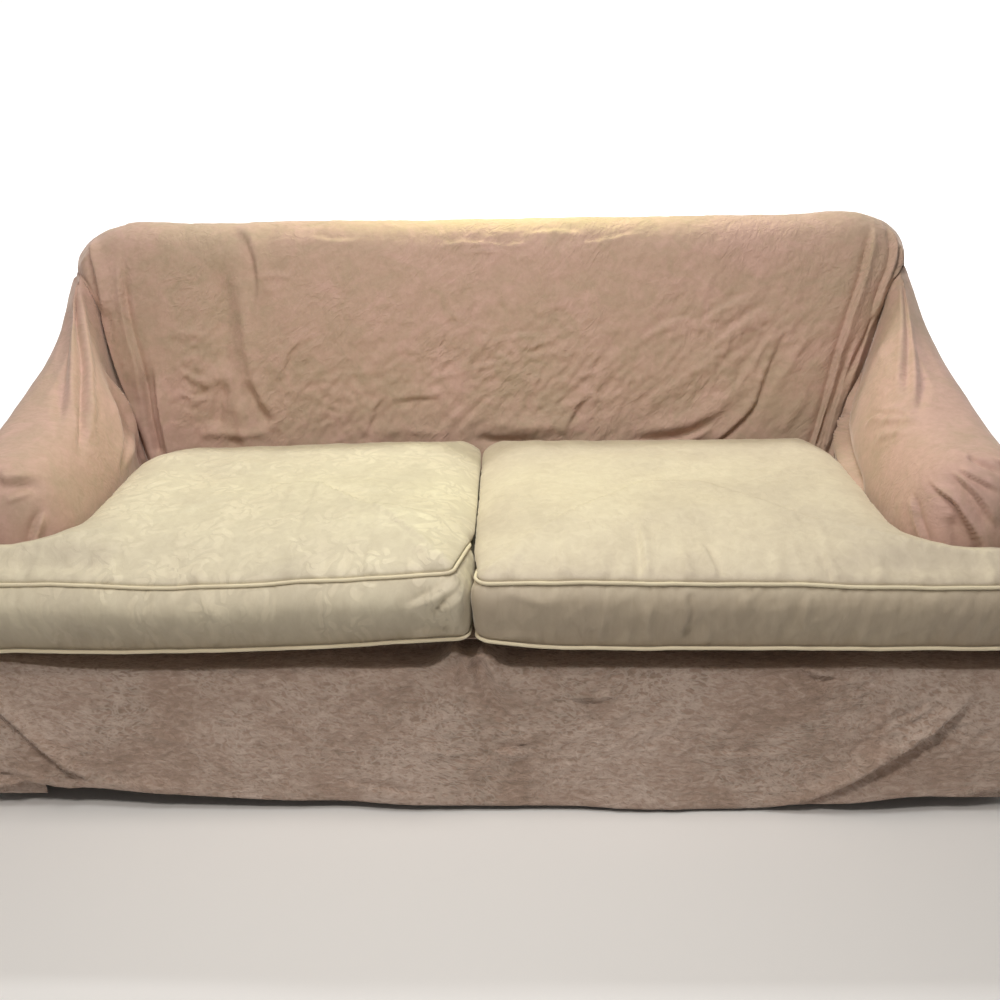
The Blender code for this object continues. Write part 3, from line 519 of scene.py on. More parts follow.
def spread(line_of, start, end, count, crowding=None):
    """Count + 1 values of a parameter at even steps along line_of(values), closer where crowded."""
    values = np.linspace(start, end, 1201)
    line = line_of(values)
    length = run_length(line)
    weight = np.ones(len(values))
    if crowding is not None:
        weight = weight + crowding(length)
    effort = np.concatenate(([0.0], np.cumsum(np.diff(length) * (weight[1:] + weight[:-1]) / 2)))
    return np.interp(np.linspace(0.0, effort[-1], count + 1), effort, values)


def smooth_line(path):
    """A path rounded through its points."""
    path = np.array(path, float)
    before = np.concatenate((path[:1], path[:-1]))
    after = np.concatenate((path[1:], path[-1:]))
    lean = (after - before) / 2
    line = []
    for index in range(len(path) - 1):
        for step in range(PATH_STEPS):
            t = step / PATH_STEPS
            line.append(
                path[index] * (2 * t**3 - 3 * t**2 + 1)
                + lean[index] * (t**3 - 2 * t**2 + t)
                + path[index + 1] * (3 * t**2 - 2 * t**3)
                + lean[index + 1] * (t**3 - t**2)
            )
    line.append(path[-1])
    return np.array(line)


def crease_heights(plane, creases, scale=(1.0, 1.0)):
    """Height that the creases add at each place of a sheet's plane."""
    places = plane.reshape(-1, 2)
    total = np.zeros(len(places))
    for crease in creases:
        line = smooth_line(crease.path) * scale
        reach = 5 * crease.width
        near = np.all((places > line.min(0) - reach) & (places < line.max(0) + reach), axis=1)
        here = places[near]
        length = run_length(line)
        nearest = np.full(len(here), np.inf)
        side = np.zeros(len(here))
        along = np.zeros(len(here))
        for index in range(len(line) - 1):
            run = line[index + 1] - line[index]
            from_start = here - line[index]
            part = np.clip(from_start @ run / (run @ run), 0.0, 1.0)
            away = from_start - part[:, None] * run
            distance = np.linalg.norm(away, axis=1)
            closer = distance < nearest
            nearest[closer] = distance[closer]
            turned = run[0] * away[:, 1] - run[1] * away[:, 0]
            side[closer] = np.sign(turned[closer])
            along[closer] = (length[index] + part * np.linalg.norm(run))[closer] / length[-1]
        strength = np.ones(len(here))
        if crease.fade_in:
            strength = strength * ease(along / crease.fade_in)
        if crease.fade_out:
            strength = strength * ease((1.0 - along) / crease.fade_out)
        if crease.lean == 0:
            profile = np.exp(-((nearest / crease.width) ** 2))
        else:
            across = nearest * side * crease.lean / crease.width
            dropped = ease(across / 0.6 + 0.5)
            raised = np.exp(-((across / 1.8) ** 2))
            profile = raised * (1.0 - dropped) - 0.75 * np.exp(-((across / 1.5) ** 2)) * dropped
        total[near] += crease.height * strength * profile
    return total.reshape(plane.shape[:-1])


def soft_noise(points, size, seed):
    """Smooth noise of about -1 to 1 whose lumps are about size across."""
    flat = points.reshape(-1, 3) / size + seed
    values = [noise.fractal(place, 1.0, 2.0, 2) for place in map(Vector, flat)]
    return np.array(values).reshape(points.shape[:-1])


def crinkles(points, size, seed, direction, stretch):
    """Crumpled cloth from 0 to 1: narrow ridges between smooth hollows, longer along direction."""
    flat = points.reshape(-1, 3)
    grain = np.array(direction) / np.linalg.norm(direction)
    flat = flat - np.outer(flat @ grain, grain) * (1.0 - 1.0 / stretch)
    warp = soft_noise(flat, size * 2.2, seed + 31.7)[:, None] * size * 0.6
    flat = flat + warp
    fine = 1.0 - np.abs(soft_noise(flat, size, seed)) * 2.2
    coarse = 1.0 - np.abs(soft_noise(flat, size * 2.1, seed + 11.3)) * 2.2
    return (np.clip(fine, 0.0, 1.0) * 0.5 + np.clip(coarse, 0.0, 1.0) * 0.5).reshape(points.shape[:-1])


def lumps(cloth, points, seed):
    """Heights of a cloth's soft lumps."""
    height, size = LUMPS[cloth]
    return height * soft_noise(points, size, seed)


def fine_crinkles(cloth, points, seed):
    """Heights of a cloth's fine crinkles."""
    height, size, direction, stretch = CRINKLES[cloth]
    return height * (crinkles(points, size, seed, direction, stretch) - 0.5)


def rumple_heights(plane, points, rumples, seed, direction, scale=(1.0, 1.0)):
    """Height of the small crinkles on a sheet, patch by patch."""
    coarse, fine = (
        crinkles(points, size, seed + step, direction, stretch) - 0.5 for size, step, stretch in RUMPLE_SIZES
    )
    total = np.zeros(plane.shape[:-1])
    for rumple in rumples:
        away = (plane - np.array(rumple.middle) * scale) / (np.array(rumple.reach) * scale)
        total += rumple.height * np.exp(-np.sum(away**2, axis=-1))
    return total * (coarse * RUMPLE_SHARE + fine * RUMPLE_SHARE)


def grid_normals(points):
    """Outward directions of a grid of points, from its columns and rows."""
    along_rows = np.gradient(points, axis=1)
    up_columns = np.gradient(points, axis=0)
    return unit(np.cross(along_rows, up_columns))


def new_piece(name, vertices, faces, mirrored=False, uvs=None):
    """A smooth mesh object at its place in the part's frame."""
    vertices = np.array(vertices, float)
    if mirrored:
        vertices = vertices * (-1.0, 1.0, 1.0)
        faces = [face[::-1] for face in faces]
        uvs = None if uvs is None else [corners[::-1] for corners in uvs]
    mesh = bpy.data.meshes.new(name)
    mesh.from_pydata((vertices - HOLD_POINT).tolist(), [], faces)
    if uvs is not None:
        layer = mesh.uv_layers.new(name="cloth")
        flat = np.array(uvs, np.float32).ravel()
        layer.data.foreach_set("uv", flat)
    mesh.update()
    mesh.shade_smooth()
    piece = bpy.data.objects.new(name, mesh)
    bpy.context.scene.collection.objects.link(piece)
    return piece


def grid_faces(index):
    """Four-cornered faces between the rows and columns of a grid of vertex numbers."""
    corners = (index[:-1, :-1], index[:-1, 1:], index[1:, 1:], index[1:, :-1])
    return np.stack([corner.ravel() for corner in corners], axis=-1)


def cloth_sheet(name, points, mirrored=False, material=None, folded=False):
    """A sewn panel from a grid of points, thickened on its hidden side.

    A folded panel's top row runs out and back on itself, and is joined there.
    """
    rows, columns = points.shape[:2]
    index = np.arange(rows * columns).reshape(rows, columns)
    faces = grid_faces(index)
    across = np.concatenate(
        (np.zeros((rows, 1)), np.cumsum(np.linalg.norm(np.diff(points, axis=1), axis=-1), axis=1)),
        axis=1,
    )
    upward = np.concatenate(
        (np.zeros((1, columns)), np.cumsum(np.linalg.norm(np.diff(points, axis=0), axis=-1), axis=0)),
        axis=0,
    )
    flat = np.stack((across.ravel(), upward.ravel()), axis=-1)[faces]
    places = points.reshape(-1, 3)
    if folded:
        half = columns // 2
        index[-1, half + 1 :] = index[-1, :half][::-1]
        faces = grid_faces(index)
        places = places[: index[-1].max() + 1]
    piece = new_piece(name, places, faces.tolist(), mirrored, flat.tolist())
    shell = piece.modifiers.new("cloth_thickness", "SOLIDIFY")
    shell.thickness = CLOTH
    shell.offset = -1.0
    piece.data.materials.append(material)
    return piece


# ---------------------------------------------------------------- arms


def arm_foot(turn):
    """Lower edge of the arm's cloth."""
    inner = mix(ARM_INNER_REAR, ARM_INNER_FRONT, np.clip(turn, 0.0, 1.0)[..., None])
    angle = math.pi * (np.clip(turn, 1.0, 2.0) - 1.0)
    middle = (ARM_INNER_FRONT[0] + ARM_OUTER_FRONT[0]) / 2
    half = (ARM_OUTER_FRONT[0] - ARM_INNER_FRONT[0]) / 2
    nose = np.stack(
        (
            middle - half * powered(np.cos(angle), NOSE_POWER),
            ARM_INNER_FRONT[1] - NOSE_DEPTH * powered(np.sin(angle), NOSE_POWER),
        ),
        axis=-1,
    )
    outer = mix(ARM_OUTER_FRONT, ARM_OUTER_REAR, np.clip(turn - 2.0, 0.0, 1.0)[..., None])
    plan = np.where((turn <= 1.0)[..., None], inner, np.where((turn < 2.0)[..., None], nose, outer))
    height = np.where(turn <= 2.0, FOOT_Z, mix(FOOT_Z, ROLL_SEAM_Z, ease((turn - 2.0) / ROLL_SEAM_RUN)))
    return points_of(plan[..., 0], plan[..., 1], height)


def arm_ridge(turn):
    """Top line of the arm, which climbs to the shoulder of the back."""
    along = np.minimum(1.0, np.minimum(turn, 3.0 - turn))
    ridge = mix(RIDGE_REAR, RIDGE_FRONT, along[..., None])
    ridge[..., 2] = mix(RIDGE_FRONT[2], RIDGE_REAR[2], (1.0 - along) ** 2)
    return ridge


def arm_power(turn):
    """How square the arm's section is: slack in the valley, round on the roll."""
    valley = mix(VALLEY_POWER, ROLL_POWER, ease(turn / VALLEY_RUN))
    return np.where(turn <= 1.0, valley, mix(ROLL_POWER, SHOULDER_POWER, ease(turn - 2.0)))


def shoulder_swell(climb, swell):
    """How far the cloth stands out at the shoulder seam: climb 1 is its top, 2 its rear end."""
    share = ease((climb - 0.74) / 0.22) * ease((1.95 - climb) / 0.7)
    return share[..., None] * swell


def arm_surface(turn, rise):
    """Point of the arm's cloth, rise 0 at the foot and 1 on the ridge."""
    turn, rise = np.broadcast_arrays(np.asarray(turn, float), np.asarray(rise, float))
    foot = arm_foot(turn)
    ridge = arm_ridge(turn)
    angle = rise * math.pi / 2
    power = arm_power(turn)
    point = mix(foot, ridge, (1.0 - powered(np.cos(angle), power))[..., None])
    point[..., 2] = mix(foot[..., 2], ridge[..., 2], powered(np.sin(angle), power))
    return point


# The valley between arm and back, where both sheets are tucked in
TUCK_DEPTH = {"left": 0.055, "right": 0.030}
SEAM_DEPTH = 0.005
VALLEY_INWARD = {"left": np.array((0.12, 0.98, -0.10)), "right": np.array((0.50, 0.85, -0.10))}
SEAM_TUCK_WIDTH = 0.008
ARM_TUCK_WIDTH = {"left": 0.013, "right": 0.011}
BACK_TUCK_WIDTH = {"left": 0.011, "right": 0.010}
VALLEY_SHIFT = {"left": 0.037, "right": 0.014}
ARM_SHIFT_REACH = {"left": 0.115, "right": 0.055}
BACK_SHIFT_REACH = 0.085
# The shoulder above it, where the cloth fills the seam and swells out
FILL_INWARD = np.array((0.50, 0.85, -0.10))
VALLEY_FILL = 0.006
VALLEY_FILL_REACH = 0.028
SEAM_LAP = np.array((0.0025, 0.001, 0.0))
SEAM_LAP_REACH = 0.004
SHOULDER_INWARD = np.array((-0.45, -0.15, -0.85))
SHOULDER_TUCK = 0.0014
SHOULDER_TUCK_WIDTH = 0.005
SHOULDER_SWELL = {"left": np.array((0.016, 0.0, 0.028)), "right": np.array((0.005, 0.0, 0.018))}
SWELL_REACH = 0.22

# Mesh of the arm's cloth, and the calm strip along the edges of arm and back
ARM_COLUMNS = 132
ARM_ROWS = 112
EDGE_FADE = 0.012


def valley_opening(climb):
    """1 where the cloth of arm and back stands open in the valley, 0 where it meets."""
    return np.where(climb > 0.56, ease((0.82 - climb) / 0.26), np.exp(-(((climb - 0.56) / 0.20) ** 2)))


def valley_fill(climb, distance):
    """How far the shoulder's cloth stands out over the seam, so that no valley shows there."""
    share = ease((climb - 0.68) / 0.22) * ease((1.0 - climb) / 0.10)
    return -VALLEY_FILL * share * np.exp(-((distance / VALLEY_FILL_REACH) ** 2))


def seam_tuck(climb, depth):
    """How far the seam between arm and back lies back in the valley, up from the seat."""
    closed = SEAM_DEPTH * ease((0.84 - climb) / 0.14)
    return mix(closed, depth, valley_opening(climb)) * ease(climb / 0.15)


def valley_shift(climb, side):
    """How far outwards the valley's seam lies from the arm's plain shape."""
    return VALLEY_SHIFT[side] * ease((0.90 - climb) / 0.42) * ease(climb / 0.12)


def tuck_profile(distance, climb, width, power):
    """Share of the tuck at a distance from the seam, wider where the valley stands open."""
    own_width = mix(SEAM_TUCK_WIDTH, width, valley_opening(climb))
    return np.exp(-((distance / own_width) ** power))


def crowd_arm(length):
    """Closer columns beside the valley and round the nose."""
    by_valley = np.exp(-((length / 0.05) ** 2))
    by_nose = np.exp(-(((length - 0.55) / 0.15) ** 2))
    return 1.4 * by_valley + 0.4 * by_nose


def arm_grid(side, mirrored):
    """Turns, rises and points of the arm's cloth without its folds."""
    turn = spread(lambda t: arm_surface(t, np.full_like(t, 0.45)), 0.0, 1.5, ARM_COLUMNS, crowd_arm)
    turn = np.concatenate((turn, 3.0 - turn[-2::-1]))
    rise = spread(lambda r: arm_surface(np.full_like(r, 0.9), r), 0.0, 1.0, ARM_ROWS)
    turn, rise = np.meshgrid(turn, rise)
    points = arm_surface(turn, rise)
    from_shoulder = np.minimum(turn, 3.0 - turn)
    climb = np.where(turn < 1.5, rise, 1.0 + (1.0 - rise) / SHOULDER_RISE)
    swell = shoulder_swell(climb, SHOULDER_SWELL[side])
    points = points + swell * np.exp(-((from_shoulder / SWELL_REACH) ** 2))[..., None]
    hand = (-1.0, 1.0, 1.0) if mirrored else (1.0, 1.0, 1.0)
    return turn, rise, round_corners(points * hand) * hand


def build_inside_arm(side, creases, seed, mirrored, material):
    """Inner side, roll and nose of one arm in one piece, with the tucks at its front."""
    turn, rise, points = arm_grid(side, mirrored)
    normals = grid_normals(points)
    plane = np.stack((turn * TURN_LENGTH, rise * RISE_LENGTH), axis=-1)
    scale = np.array((TURN_LENGTH, RISE_LENGTH))
    height = crease_heights(plane, creases, scale)
    height += rumple_heights(plane, points, ARM_RUMPLES, seed, (0.2, 0.6, 1.0), scale)
    height += lumps("inside_arm", points, seed + 3.0)
    height += fine_crinkles("inside_arm", points, seed + 9.0)
    length = run_length(points[len(points) // 2])
    edge = np.minimum(length[None, :], 1.0)
    rear_edge = length[-1] - length[None, :]
    free = ease(edge / EDGE_FADE) * ease(rear_edge / EDGE_FADE) * ease(rise / 0.10)
    points = points + normals * (height * free)[..., None]
    valley = seam_tuck(rise, TUCK_DEPTH[side]) * tuck_profile(edge, rise, ARM_TUCK_WIDTH[side], 2)
    points = points + valley[..., None] * VALLEY_INWARD[side]
    points = points + valley_fill(rise, edge)[..., None] * FILL_INWARD
    over = SHOULDER_TUCK * np.exp(-((rear_edge / SHOULDER_TUCK_WIDTH) ** 2)) * ease((rise - 0.45) / 0.1)
    points = points + over[..., None] * SHOULDER_INWARD
    shift = valley_shift(rise, side) * np.exp(-((edge / ARM_SHIFT_REACH[side]) ** 2))
    points[..., 0] += shift
    gap = (points[-1][::-1] - points[-1]) / 2
    points = points + gap * ease((rise - 0.9) / 0.1)[..., None]
    return cloth_sheet(f"velvet_inside_arm_{side}", points, mirrored, material, folded=True)


def side_hem(along):
    """Hem height of the side panel, lifted at the front corner as on the apron."""
    return HEM_Z + CORNER_HEM_RISE * (1.0 - ease(along / SIDE_HEM_LIFT_RUN))


def build_outside_arm(side, seed, mirrored, material):
    """Plain side panel that hangs from the roll to the floor."""
    level = np.linspace(SIDE_FRONT_Y, ARM_OUTER_FRONT[1], 24)[:-1]
    turn = spread(arm_foot, 2.0, 3.0, 82)
    under_nose = points_of(np.full_like(level, ARM_OUTER_FRONT[0]), level, DECK_TOP)
    under_roll = arm_foot(turn) - (0.0, 0.0, SEAM_GAP)
    top = np.concatenate((under_nose, under_roll))
    along = run_length(top * (1.0, 1.0, 0.0))
    part = along / along[-1]
    drop = np.linspace(1.0, 0.0, 60)[:, None]
    wave = SIDE_WAVE * (1.0 - np.cos(2 * math.pi * along / SIDE_WAVE_LENGTH))
    swing = SIDE_FLARE * drop * (1.0 + wave)
    height = mix(top[:, 2], side_hem(part), drop)
    points = points_of(top[:, 0] + swing, top[:, 1], height)
    normals = grid_normals(points)
    slack = lumps("outside_arm", points * (1.0, 1.0, 0.35), seed)
    slack += fine_crinkles("outside_arm", points, seed + 4.0)
    edges = ease(part / 0.04) * ease((1.0 - part) / 0.04) * ease(drop / 0.08)
    points = points + normals * (slack * edges)[..., None]
    points = points + normals * hem_fold(points[..., 2] - side_hem(part))[..., None]
    return cloth_sheet(f"velvet_outside_arm_{side}", points, mirrored, material)


def hem_fold(above):
    """Height that the turned-up hem adds, with the dip of its stitching, at a height above it."""
    fold = 0.0011 * (1.0 - ease((above - HEM_TURN) / 0.004))
    return fold - 0.0014 * np.exp(-(((above - HEM_TURN + 0.003) / 0.0035) ** 2))


# ---------------------------------------------------------------- back


def rounded_span(across, power):
    """Width and rise fractions of a row that is flat in the middle and round at its ends."""
    amount = np.abs(across)
    width = 0.5 ** (1.0 / power) * amount / BACK_STRAIGHT_PART
    rise = (1.0 - np.minimum(width, 1.0) ** power) ** (1.0 / power)
    angle = math.pi / 4 * (1.0 + (amount - BACK_STRAIGHT_PART) / (1.0 - BACK_STRAIGHT_PART))
    middle = amount <= BACK_STRAIGHT_PART
    width = np.where(middle, width, powered(np.sin(angle), power))
    rise = np.where(middle, rise, powered(np.maximum(np.cos(angle), 0.0), power))
    return np.sign(across) * width, rise


def back_middle(climb):
    """Section of the inside back at its middle: climb 0 to 1 is the recline, 1 to 2 the roll."""
    upward = powered(np.sin(np.clip(climb, 0.0, 1.0) * math.pi / 2), VALLEY_POWER)
    angle = math.pi * np.clip(climb - 1.0, 0.0, 1.0)
    reclined = climb <= 1.0
    y = np.where(
        reclined,
        mix(BACK_TUCK_Y, RECLINE_TOP_Y, upward),
        mix(RECLINE_TOP_Y, REAR_Y, (1.0 - np.cos(angle)) / 2),
    )
    z = np.where(
        reclined,
        mix(FOOT_Z, RECLINE_TOP_Z, upward),
        RECLINE_TOP_Z + TOP_ROLL_RISE * np.sin(angle),
    )
    return points_of(np.zeros_like(y), y, z)


def back_side(climb):
    """Seam of the inside back with the right arm: up the valley, then over the shoulder."""
    valley = arm_surface(np.zeros_like(climb), np.clip(climb, 0.0, 1.0))
    over = arm_surface(np.full_like(climb, 3.0), mix(1.0, SHOULDER_RISE, np.clip(climb - 1.0, 0.0, 1.0)))
    seam = np.where((climb <= 1.0)[..., None], valley, over)
    lap = CORNER_LAP * np.clip(climb - 1.0, 0.0, 1.0)
    return seam + points_of(np.full_like(climb, -SEAM_GAP), lap, np.full_like(climb, SEAM_GAP))


# Rounding of the back's upper corners: where it starts, how far it runs, and its squareness
CORNER_START_X = {-1: 0.718, 1: 0.735}
CORNER_START_Z = {-1: 0.758, 1: 0.760}
CORNER_RUN_X = {-1: 0.124, 1: 0.094}
CORNER_RUN_Z = 0.108
CORNER_POWER = {-1: 1.53, 1: 1.45}
CORNER_BLEND = 0.04
EASING_PASSES = 24
# Soft lift of the back's shoulders: height, distance from the middle, reach
SHOULDER_LIFT = (0.011, 0.69, 0.075)


def back_surface(across, climb):
    """Point of the inside back without its folds; across runs from -1 to 1."""
    across, climb = np.broadcast_arrays(np.asarray(across, float), np.asarray(climb, float))
    width, rise = rounded_span(across, BACK_ROUND_POWER)
    middle = back_middle(climb)
    swell = np.where((across < 0.0)[..., None], SHOULDER_SWELL["left"], SHOULDER_SWELL["right"])
    side = back_side(climb) + shoulder_swell(climb, swell)
    x = side[..., 0] * width
    lift, lift_x, reach = SHOULDER_LIFT
    shoulders = lift * np.exp(-(((np.abs(x) - lift_x) / reach) ** 2)) * ease((climb - 0.8) / 0.3)
    return points_of(
        x,
        mix(side[..., 1], middle[..., 1], rise),
        mix(side[..., 2], middle[..., 2], rise) + shoulders * ease((2.0 - climb) / 0.3),
    )


def round_corners(points):
    """Draw the cloth in to the rounded upper corners of the back."""
    points = points.copy()
    spread_out = 1.0 + 0.5 * (points[..., 1] - 0.75)
    for hand in (-1, 1):
        out = (points[..., 0] * hand / spread_out - CORNER_START_X[hand]) / CORNER_RUN_X[hand]
        up = (points[..., 2] - CORNER_START_Z[hand]) / CORNER_RUN_Z
        power = CORNER_POWER[hand]
        size = (np.maximum(out, 0.0) ** power + np.maximum(up, 0.0) ** power) ** (1 / power)
        kept = 1.0 - np.logaddexp(0.0, (1.0 - size) / CORNER_BLEND) * CORNER_BLEND
        scale = np.where((out > 0.0) & (up > 0.0), kept / np.maximum(size, 0.2), 1.0)
        scale = np.where(size > 0.7, scale, 1.0)
        drawn_x = (CORNER_START_X[hand] + out * CORNER_RUN_X[hand] * scale) * spread_out * hand
        drawn_z = CORNER_START_Z[hand] + up * CORNER_RUN_Z * scale
        near = (out > 0.0) & (up > 0.0)
        points[..., 0] = np.where(near, drawn_x, points[..., 0])
        points[..., 2] = np.where(near, drawn_z, points[..., 2])
    return points


def eased_rows(points, share):
    """Grid points smoothed up and down their columns where share is above 0."""
    points = points.copy()
    for _ in range(EASING_PASSES):
        bend = (points[2:] + points[:-2]) / 2 - points[1:-1]
        points[1:-1] += 0.5 * bend * share[1:-1, :, None]
    return points


# Mesh of the inside back's cloth
BACK_COLUMNS = 336
BACK_ROWS = 140


def crowd_back(length):
    """Closer columns beside both arms."""
    by_left = np.exp(-((length / 0.10) ** 2))
    by_right = np.exp(-(((length[-1] - length) / 0.10) ** 2))
    return 1.3 * by_left + 1.3 * by_right


def tucked_sides(points, climb, from_left, from_right):
    """The inside back's points with both edges tucked into the valleys and over the shoulders."""
    for side, near, flip in (("left", from_left, -1.0), ("right", from_right, 1.0)):
        hand = (flip, 1.0, 1.0)
        profile = tuck_profile(near, climb, BACK_TUCK_WIDTH[side], 4)
        valley = seam_tuck(climb, TUCK_DEPTH[side]) * (climb <= 1.0) * profile
        points = points + valley[..., None] * VALLEY_INWARD[side] * hand
        points = points + valley_fill(climb, near)[..., None] * FILL_INWARD * hand
        lap = np.exp(-((near / SEAM_LAP_REACH) ** 2)) * ease((1.0 - climb) / 0.06) * ease(climb / 0.10)
        points = points + lap[..., None] * SEAM_LAP * hand
        over = SHOULDER_TUCK * (climb > 1.0) * np.exp(-((near / SHOULDER_TUCK_WIDTH) ** 2))
        points = points + over[..., None] * SHOULDER_INWARD * hand
    return points


def build_inside_back(material):
    """Inside back with its top and shoulders in one piece, pleated beside the arms."""
    across = spread(lambda a: back_surface(a, np.full_like(a, 0.7)), -1.0, 1.0, BACK_COLUMNS, crowd_back)
    climb = spread(lambda c: back_surface(np.zeros_like(c), c), 0.0, 2.0, BACK_ROWS)
    across, climb = np.meshgrid(across, climb)
    points = round_corners(back_surface(across, climb))
    steps = np.linalg.norm(np.diff(points, axis=1), axis=-1)
    from_left = np.concatenate((np.zeros((len(points), 1)), np.cumsum(steps, axis=1)), axis=1)
    from_right = from_left[:, -1:] - from_left
    edge = np.minimum(from_left, from_right)
    points = eased_rows(points, np.exp(-(((climb - 1.02) / 0.22) ** 2)) * ease(edge / EDGE_FADE))
    for side, near, flip in (("left", from_left, -1.0), ("right", from_right, 1.0)):
        reach = np.exp(-((near / BACK_SHIFT_REACH) ** 2)) * (climb <= 1.0)
        points[..., 0] += flip * valley_shift(climb, side) * reach
    normals = grid_normals(points)
    plane = np.stack((points[..., 0], points[..., 2]), axis=-1)
    facing = ease((1.55 - climb) / 0.15)
    height = crease_heights(plane, BACK_CREASES) * facing
    height += rumple_heights(plane, points, BACK_RUMPLES, 2.0, (0.8, 0.0, 1.0)) * facing
    height += lumps("inside_back", points, 7.0)
    height += fine_crinkles("inside_back", points, 13.0)
    height += fine_crinkles("inside_back_fine", points, 17.0)
    free = ease(edge / EDGE_FADE) * ease(climb / 0.08) * ease((2.0 - climb) / 0.12)
    points = tucked_sides(points + normals * (height * free)[..., None], climb, from_left, from_right)
    return cloth_sheet("velvet_inside_back", points, material=material)


def outside_back_side(drop):
    """Right edge of the outside back: down the shoulder, then down the side panel."""
    rise = (1.0 - np.clip(drop / SHOULDER_PART, 0.0, 1.0)) * SHOULDER_RISE
    shoulder = arm_surface(np.full_like(drop, 3.0), rise)
    fall = np.clip((drop - SHOULDER_PART) / (1.0 - SHOULDER_PART), 0.0, 1.0)
    corner = arm_foot(np.full_like(drop, 3.0))
    below = points_of(corner[..., 0] + SIDE_FLARE * fall, corner[..., 1], mix(ROLL_SEAM_Z, HEM_Z, fall))
    edge = np.where((drop <= SHOULDER_PART)[..., None], shoulder, below)
    edge[..., 1] += CORNER_LAP
    return edge


def build_outside_back(material):
    """Plain rear panel, from the seam behind the top to the floor."""
    across = spread(lambda a: back_surface(a, np.full_like(a, 2.0)), 1.0, -1.0, 200)
    drop = np.linspace(1.0, 0.0, 90)
    across, drop = np.meshgrid(across, drop)
    top = back_surface(across, np.full_like(across, 2.0))
    edge = outside_back_side(drop)
    corner = outside_back_side(np.zeros(1))
    width, rise = rounded_span(across, BACK_ROUND_POWER)
    gap = 2 * SEAM_GAP * (1.0 - drop)
    half_width = edge[..., 0] - gap - CLOTH * (1.0 - drop)
    z = edge[..., 2] + (top[..., 2] - corner[0, 2]) * (1.0 - drop) - gap
    points = round_corners(points_of(half_width * width, mix(edge[..., 1], REAR_Y, rise), z))
    normals = grid_normals(points)
    slack = lumps("outside_back", points * (1.0, 1.0, 0.3), 40.0)
    slack += fine_crinkles("outside_back", points, 44.0)
    free = ease((1.0 - np.abs(across)) / 0.08) * ease(drop / 0.06)
    points = points + normals * (slack * free)[..., None]
    points = points + normals * hem_fold(points[..., 2] - HEM_Z)[..., None]
    return cloth_sheet("velvet_outside_back", points, material=material)


# ---------------------------------------------------------------- front of the cover


def front_hem(x):
    """Hem height of the apron, which lifts towards both corners, sooner on the left."""
    curve = smooth_line(FRONT_HEM)
    return np.interp(x, curve[:, 0], curve[:, 1])


def apron_edge(x):
    """Height of the apron's upper edge, pulled up between the cushions and at the left corner."""
    edge_z = APRON_LIP_Z + APRON_LIP_WAVER * np.sin(x * 9.0) * np.sin(x * 5.3 + 1.0)
    unevenness = np.array([noise.noise(Vector((place * 14.0, 3.0, 0.0))) for place in x])
    edge_z = edge_z + APRON_LIP_UNEVENNESS * unevenness
    for peak_x, rise, reach in LIP_PEAKS:
        edge_z = edge_z + rise * np.maximum(0.0, 1.0 - np.abs(x - peak_x) / reach) ** 1.5
    return edge_z + LIP_CORNER_RISE * ease((LIP_CORNER_X - x) / LIP_CORNER_RUN)


def build_front_apron(material):
    """Front panel from the edge of the deck to the floor, slack and creased.

    Its rows run up from the hem to the platform's edge, back into the recess under the cushions,
    up, and forward under the deck to its seam.
    """
    x = np.linspace(-APRON_HALF_WIDTH, APRON_HALF_WIDTH, APRON_COLUMNS)
    edge_z = apron_edge(x)
    body = np.linspace(0.0, 1.0, 56)[:, None]
    turn = np.linspace(0.0, 1.0, 6)[1:, None]
    back = np.linspace(0.0, 1.0, 12)[1:, None]
    riser = np.linspace(0.0, 1.0, 6)[1:, None]
    forward = np.linspace(0.0, 1.0, 9)[1:, None]
    angle = turn * math.pi / 2
    z = np.concatenate(
        (
            mix(front_hem(x), edge_z - LIP_RADIUS, body),
            edge_z - LIP_RADIUS + LIP_RADIUS * np.sin(angle),
            edge_z - RECESS_DROP * back,
            mix(edge_z - RECESS_DROP, DECK_TOP - DECK_LAP_DROP, riser),
            mix(DECK_TOP - DECK_LAP_DROP, DECK_TOP, forward) * np.ones_like(edge_z),
        )
    )
    inward = np.concatenate(
        (
            np.zeros_like(body),
            LIP_RADIUS * (1.0 - np.cos(angle)),
            mix(LIP_RADIUS, RECESS_DEPTH, back),
            RECESS_DEPTH + 0.004 * np.sin(math.pi * riser),
            mix(RECESS_DEPTH, APRON_LIP_DEPTH, forward),
        )
    )
    x = np.broadcast_to(x, z.shape)
    drop = (DECK_TOP - z) / (DECK_TOP - front_hem(x))
    wave = 0.6 * APRON_WAVE * np.sin(2 * math.pi * x / APRON_WAVE_LENGTH) - APRON_WAVE
    y = APRON_Y - APRON_KICK * drop + wave * drop + inward * (APRON_LIP_DEPTH - wave * drop) / APRON_LIP_DEPTH
    points = points_of(x, y, z)
    plane = np.stack((x, z), axis=-1)
    slack = APRON_CREASE_SHARE * crease_heights(plane, APRON_CREASES)
    slack += APRON_RUMPLE_SHARE * rumple_heights(plane, points, APRON_RUMPLES, 60.0, (1.0, 0.0, 0.6))
    slack += lumps("front_apron", points, 66.0)
    slack += fine_crinkles("front_apron", points, 69.0)
    free = ease(1.0 - inward / LIP_RADIUS) * ease((APRON_HALF_WIDTH - np.abs(x)) / 0.02)
    ripple = 0.0008 * np.sin(x * 31.0) * ease((drop - 0.8) / 0.2)
    normals = grid_normals(points)
    points = points + normals * (slack * free + ripple)[..., None]
    points = points + normals * hem_fold(points[..., 2] - front_hem(x))[..., None]
    return cloth_sheet("velvet_front_apron", points, material=material)


